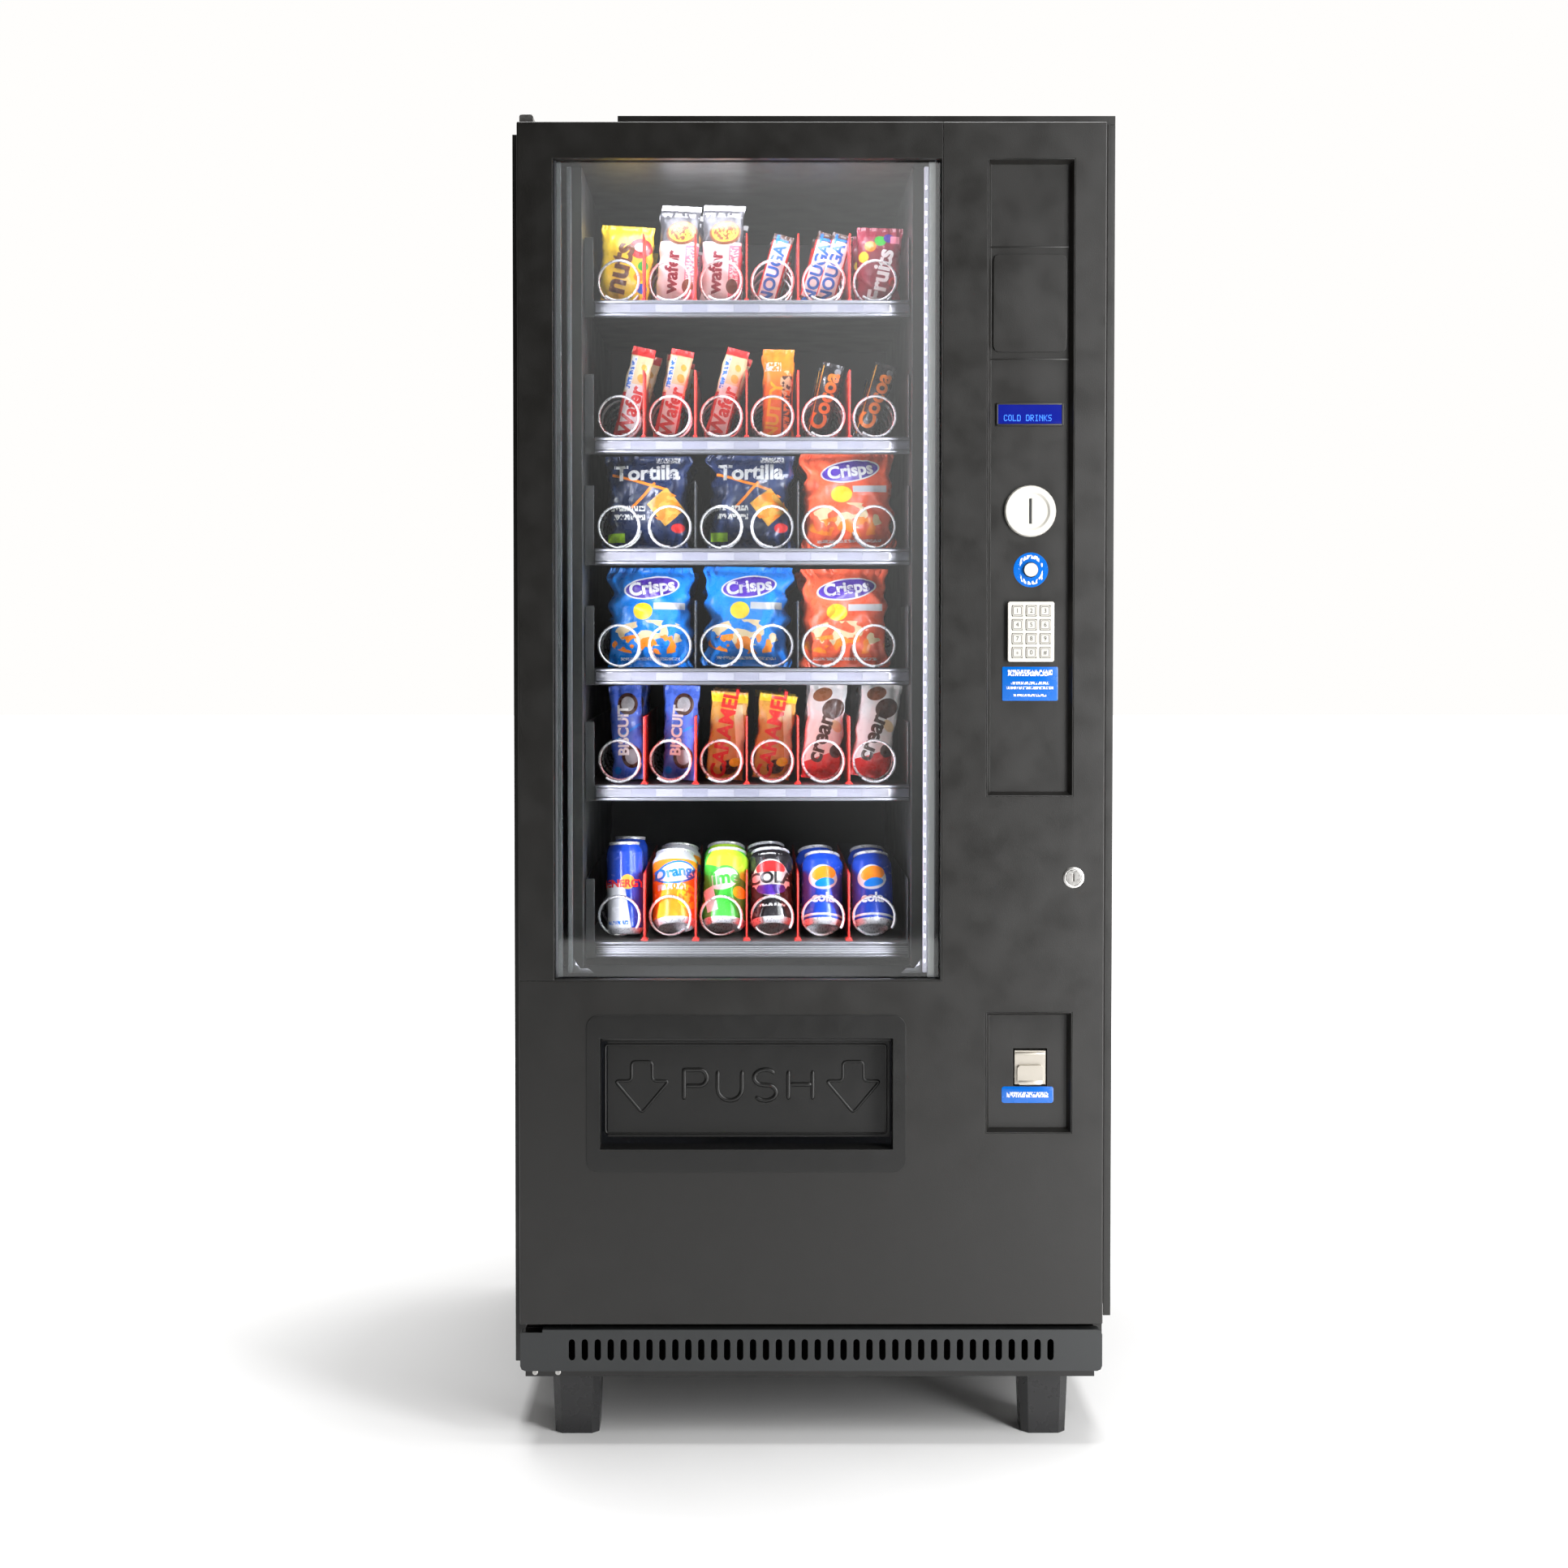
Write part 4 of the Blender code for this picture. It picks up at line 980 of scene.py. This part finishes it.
def letter_strokes():
    """PUSH as lines (x, z) about the flap's centre."""
    half, bowl = 21.5, 11.2
    p_x, u_x, s_x, h_x = -71.3, -23.2, 26.3, 75.7
    stem, bend = p_x - 16, p_x + 5
    lines = [[(stem, -half), (stem, half), (bend, half)] + arc(bend, half - bowl, bowl, 90, -90)
             + [(stem, half - 2 * bowl)]]
    lines.append([(u_x - 17, half)] + arc(u_x, -half + 17, 17, 180, 360, 16) + [(u_x + 17, half)])
    upper = arc(s_x, half - 11, 15.5, 25, 240, 16, 0.72)
    lower = arc(s_x, -half + 11, 15.5, 60, -155, 16, 0.72)
    lines.append(upper + lower)
    lines += [[(h_x + side, -half), (h_x + side, half)] for side in (-17, 17)]
    lines.append([(h_x - 17, 1), (h_x + 17, 1)])
    return lines


def make_flap():
    """Raised PUSH and two outlined arrows on the delivery flap."""
    low, high = span("delivery_flap")
    centre = (low + high) / 2
    face = NODES["delivery_flap"].data.vertices
    front = min(v.co.y for v in face if v.co.z < centre.z * MM) / MM
    for number, line in enumerate(letter_strokes(), start=1):
        flat = resampled(line)
        points = [(centre.x + x, front + 1.4, centre.z + 2 + z) for x, z in flat]
        add_tube(f"push_ridge_{number}", points, 3.6, "dark_plastic", "delivery_flap",
                 widths=ridge_widths(len(points)))
    arrow = [(-14.5, 36), (14.5, 36), (14.5, 9), (37.8, 9), (0, -36), (-37.8, 9), (-14.5, 9)]
    for side, x in (("left", -146.3), ("right", 149.3)):
        outline = rounded_outline(arrow, 6)
        points = [(centre.x + x + ax, front + 0.9, centre.z - 1 + az) for ax, az in outline]
        add_tube(f"arrow_ridge_{side}", points, 2.4, "dark_plastic", "delivery_flap", cyclic=True)
    rim = rounded_rectangle(low.x + 5, high.x - 7, low.z + 5, high.z - 12, 5)
    rim = [(x, front + 0.8, z) for x, z in rim]
    add_tube("flap_rim", rim, 1.8, "dark_plastic", "delivery_flap", cyclic=True)


CHIP_COUNT = 62


def make_leds():
    """Lenses and LED chips of the light strips, and the bright edge of the left reveal. The left strip is
    painted shade: its lens takes the darkened profile finish and its chips the price strip finish, so neither
    glows like the right strip's, while its edge keeps the plain profile finish.
    """
    # The left strip's lens and chips get dark finishes that do not glow: painted shade.
    sides = (("left", -338.5, -332, "shade_darkened_profile", "price_strip"),
             ("right", 155.5, 161.7, "led_lens", "led_chip"))
    for side, x0, x1, lens_finish, chip_finish in sides:
        low, high = span(f"led_{side}")
        lens = [(x0, x1, -400, -391, low.z + 6, high.z - 6)]
        add_boxes(f"led_lens_{side}", lens, lens_finish, "door", 1.2)
        pitch = (high.z - low.z - 40) / CHIP_COUNT
        chips = [(x0 + 1.2, x0 + 3.6, -400.7, -400.1, low.z + 20 + i * pitch, low.z + 25 + i * pitch)
                 for i in range(CHIP_COUNT)]
        add_boxes(f"led_chips_{side}", chips, chip_finish, "door", 0.1)
    low, high = span("led_left")
    edge = [(-355.2, -351.8, -410.5, -408.2, low.z, high.z)]
    add_boxes("reveal_edge_left", edge, "light_profile", "door")


def make_corner_clips():
    """Folded sheet clips that hold the glass at its lower corners."""
    z = span("window_frame")[0].z + 26
    for side, x, way in (("left", -338, 1), ("right", 160, -1)):
        outline = [(0, 0), (way * 34, 0), (way * 26, 7), (way * 16, 6), (way * 6, 20), (0, 16)]
        clip = plate(f"glass_clip_{side}", [(x + px, z - 20 + pz) for px, pz in outline], -386, -384, 0.4)
        add_piece(f"glass_clip_{side}", clip, "light_profile", "door")


GLYPHS = {
    "C": "01110 10001 10000 10000 10000 10001 01110", "O": "01110 10001 10001 10001 10001 10001 01110",
    "L": "10000 10000 10000 10000 10000 10000 11111", "D": "11110 10001 10001 10001 10001 10001 11110",
    "R": "11110 10001 10001 11110 10100 10010 10001", "I": "01110 00100 00100 00100 00100 00100 01110",
    "N": "10001 11001 10101 10011 10001 10001 10001", "K": "10001 10010 10100 11000 10100 10010 10001",
    "S": "01111 10000 10000 01110 00001 00001 11110", " ": "",
}


def make_display_text():
    """COLD DRINKS in lit dots behind the display's window."""
    low, high = span("display")
    pitch_x, pitch_z, cell = 0.98, 1.25, 6.1
    spans = []
    for index, letter in enumerate("COLD DRINKS"):
        for row, bits in enumerate(GLYPHS[letter].split()):
            for column, bit in enumerate(bits):
                if bit == "1":
                    x = low.x + 8 + index * cell + column * pitch_x
                    z = low.z + 12.5 - row * pitch_z
                    spans.append((x, x + 0.84, low.y - 0.3, low.y - 0.05, z - 1.05, z))
    add_boxes("display_text", spans, "display_dots", "door", 0.08)
    frame_spans = [(low.x - 2, high.x + 2, low.y - 0.9, low.y + 2.2, z0, z1)
                   for z0, z1 in ((low.z - 2.2, low.z), (high.z, high.z + 2.2))]
    frame_spans += [(x0, x1, low.y - 0.9, low.y + 2.2, low.z - 2.2, high.z + 2.2)
                    for x0, x1 in ((low.x - 2.2, low.x), (high.x, high.x + 2.2))]
    add_boxes("display_surround", frame_spans, "mark_black", "door")


def make_key_digits():
    """Printed digits and a raised rim on every key."""
    for label in ("1", "2", "3", "4", "5", "6", "7", "8", "9", "star", "0", "hash"):
        low, high = span(f"key_{label}")
        centre = (low + high) / 2
        sign = {"star": "*", "hash": "#"}.get(label, label)
        drop = -2.2 if label == "star" else 0
        where = (centre.x, low.y - 0.1, centre.z + drop)
        digit = text_data(f"digit_{label}", sign, 8.5, 0.12)
        add_piece(f"digit_{label}", digit, "mark_black", f"key_{label}", where, (90, 0, 0))
        rim = rounded_rectangle(low.x + 1.4, high.x - 1.4, low.z + 1.4, high.z - 1.4, 2)
        rim = [(x, low.y + 0.1, z) for x, z in rim]
        add_tube(f"key_rim_{label}", rim, 0.5, "key_edge", f"key_{label}", cyclic=True, sides=1)


def card(name, x, z, width, height, y, finish, radius):
    """A thin rounded sticker with its own origin at its centre."""
    outline = rounded_rectangle(-width / 2, width / 2, -height / 2, height / 2, radius)
    sticker = plate(name, outline, 0, 0.5, 0.1)
    add_piece(name, sticker, finish, "door", (x, y, z))


def make_labels():
    floor = span("validator_blank")[1].y
    rows = [(0.32, 0.40, 0.09), (0.02, 0.34, 0.04), (-0.12, 0.42, 0.04), (-0.34, 0.30, 0.035)]
    info = brand_free_label("info_label_blue", 77, 47, rows)
    card("info_label", 302.5, 1061.5, 77, 47, floor - 0.6, info, 2)
    coins = brand_free_label("coin_label_blue", 72, 23, [(0.0, 0.40, 0.16)])
    card("coin_label", 301, 489.5, 72, 23, span("coin_return_plate")[0].y + 13.5, coins, 4)


def make_button_ring():
    """Blue ring sticker round the coin return button, with faint white marks."""
    centre = middle("return_button")
    ring = brand_free_label("ring_label_blue", 48, 48, [])
    band = ring.math("SUBTRACT", ring.oval(0, 0, 0.0205, 0.0205), ring.oval(0, 0, 0.0155, 0.0155))
    ring.paint(ring.strokes(ring.math("MULTIPLY", band, ring.bar(0, 0, 0.0165, 0.03)), 2.4), WHITE)
    mesh = turned("ring_label", [(10.6, 0), (10.6, 0.5), (23.6, 0.5), (24, 0.2), (24, 0), (10.6, 0)], 64)
    mesh.transform(TO_FRONT)
    floor = span("validator_blank")[1].y
    add_piece("ring_label", mesh, ring, "door", (centre.x, floor + 0.1, centre.z))


def make_coin_details():
    """Fold and pressed band on the coin flap, a black block in the coin inlet's slot as painted shade,
    creases in the column.
    """
    low, high = span("coin_flap")
    fold = [(low.x + 1, high.x - 1, low.y + 3.4, low.y + 4.6, high.z - 6, high.z - 3.2)]
    add_boxes("coin_flap_fold", fold, "flap_steel", "coin_flap")
    band = [(low.x + 5, high.x - 5, low.y - 0.8, low.y + 0.3, low.z + 1.2, low.z + 6)]
    add_boxes("coin_flap_band", band, "flap_steel", "coin_flap", 0.5)
    low, high = span("coin_inlet")
    x, z = (low.x + high.x) / 2, (low.z + high.z) / 2
    # A black block set 3.6 mm into the slot: painted shade where the slot's depth is dark.
    slot = [(x - 1.7, x + 1.7, low.y + 3.6, high.y - 0.6, z - 17.2, z + 17.2)]
    add_boxes("coin_slot_shade_block", slot, "mark_black", "door", 0.3)
    floor = span("validator_blank")[1].y
    for name, z in (("upper", 1663), ("lower", 1509)):
        crease = [(247, 354.5, floor - 0.9, floor + 0.2, z - 0.8, z + 0.8)]
        add_boxes(f"column_crease_{name}", crease, "black_steel", "door", 0.35)


def make_lock_ring():
    centre = middle("lock_barrel")
    face = span("door_shell")[0].y
    ring = turned("lock_ring", [(11.3, 0), (11.3, 1.6), (12, 1.9), (14.4, 1.2), (15, 0), (11.3, 0)])
    ring.transform(TO_FRONT)
    add_piece("lock_ring", ring, "zinc_steel", "door", (centre.x, face - 0.1, centre.z))


# ---------------------------------------------------------------- the rest of the machine

def screw_row(name, radius, places, turn=0):
    """Equal screws at places in mm, their heads turned from -Y by degrees about Z."""
    head = screw_mesh(f"{name}_head", radius)
    for number, place in enumerate(places, start=1):
        add_piece(f"{name}_{number}", head, "zinc_steel", "cabinet", place, (0, 0, turn))


def make_screws():
    """Screws on the base rail and small fasteners down the side guard."""
    front = span("base_frame")[0].y
    screw_row("base_screw", 4.0, [(x, front - 0.1, 97) for x in (-386, -354)])
    low, high = span("guard_side")
    pitch = (high.z - low.z - 160) / 7
    screw_row("guard_screw", 2.6, [(high.x - 0.1, low.y + 24, low.z + 80 + i * pitch) for i in range(8)], 90)


def make_bay():
    """Power supply, controller and cable ducts in the bay beside the trays."""
    back = span("rear_wall")[0].y
    x0, x1 = 205, 345
    supply = [(x0, x1, back - 70, back - 0.5, 900, 1090)]
    supply += [(x0 + 12, x1 - 12, back - 71.5, back - 69, z, z + 5) for z in range(930, 1070, 16)]
    add_boxes("power_supply", supply, "zinc_steel", "cabinet", 1.2)
    controller = [(x0, x1, back - 42, back - 0.5, 1180, 1420),
                  (x0 + 10, x0 + 60, back - 46, back - 41, 1200, 1400)]
    controller += [(x0 + 72, x1 - 10, back - 45, back - 41, z, z + 12) for z in range(1200, 1390, 24)]
    add_boxes("vend_controller", controller, "cream_plastic", "cabinet", 1.2)
    ducts = [(x0 + 50, x0 + 80, back - 26, back - 0.5, z0, z1)
             for z0, z1 in ((700, 899), (1091, 1179), (1421, 1740))]
    add_boxes("cable_ducts", ducts, "grey_steel", "cabinet", 1.0)


def make_rear():
    """Rear wall details: ventilation louvres, a power inlet and screws along the edges."""
    low, high = span("rear_wall")
    back = high.y
    louvres = [(x - 55, x + 55, back - 0.6, back + 3.2, z, z + 4.5)
               for x in (-150, 0, 150) for z in range(230, 560, 24)]
    add_boxes("rear_louvres", louvres, "black_steel", "cabinet", 1.2)
    inlet = [(270, 330, back - 0.6, back + 2.5, 205, 250), (280, 320, back + 2.2, back + 4.0, 213, 242)]
    add_boxes("power_inlet", inlet, "dark_plastic", "cabinet", 1.0)
    pitch = (high.z - low.z - 60) / 6
    screw_row("rear_screw", 3.5, [(x, back, low.z + 30 + i * pitch)
                                  for x in (low.x + 14, high.x - 14) for i in range(7)], 180)


def make_door_seal():
    """Magnetic seal round the door's inner edge."""
    low, high = span("door_shell")
    outline = rounded_rectangle(low.x + 12, 178, low.z + 14, high.z - 12, 8)
    seal = [(x, high.y - 0.4, z) for x, z in outline]
    add_tube("door_seal", seal, 3.0, "rubber", "door", cyclic=True)


RANDOM = random.Random(7)
INKS, STOCK_FINISHES = {}, {}
FINISHES = make_finishes()

bpy.context.scene.view_settings.view_transform = "Standard"
make_camera()
make_floor()
make_world()
make_glass_card()
make_lights()
finish_nodes()
make_coils()
make_rails()
make_dividers()
make_motors()
make_packets()
make_cans()
make_flap()
make_leds()
make_corner_clips()
make_display_text()
make_key_digits()
make_labels()
make_button_ring()
make_coin_details()
make_lock_ring()
make_screws()
make_bay()
make_rear()
make_door_seal()
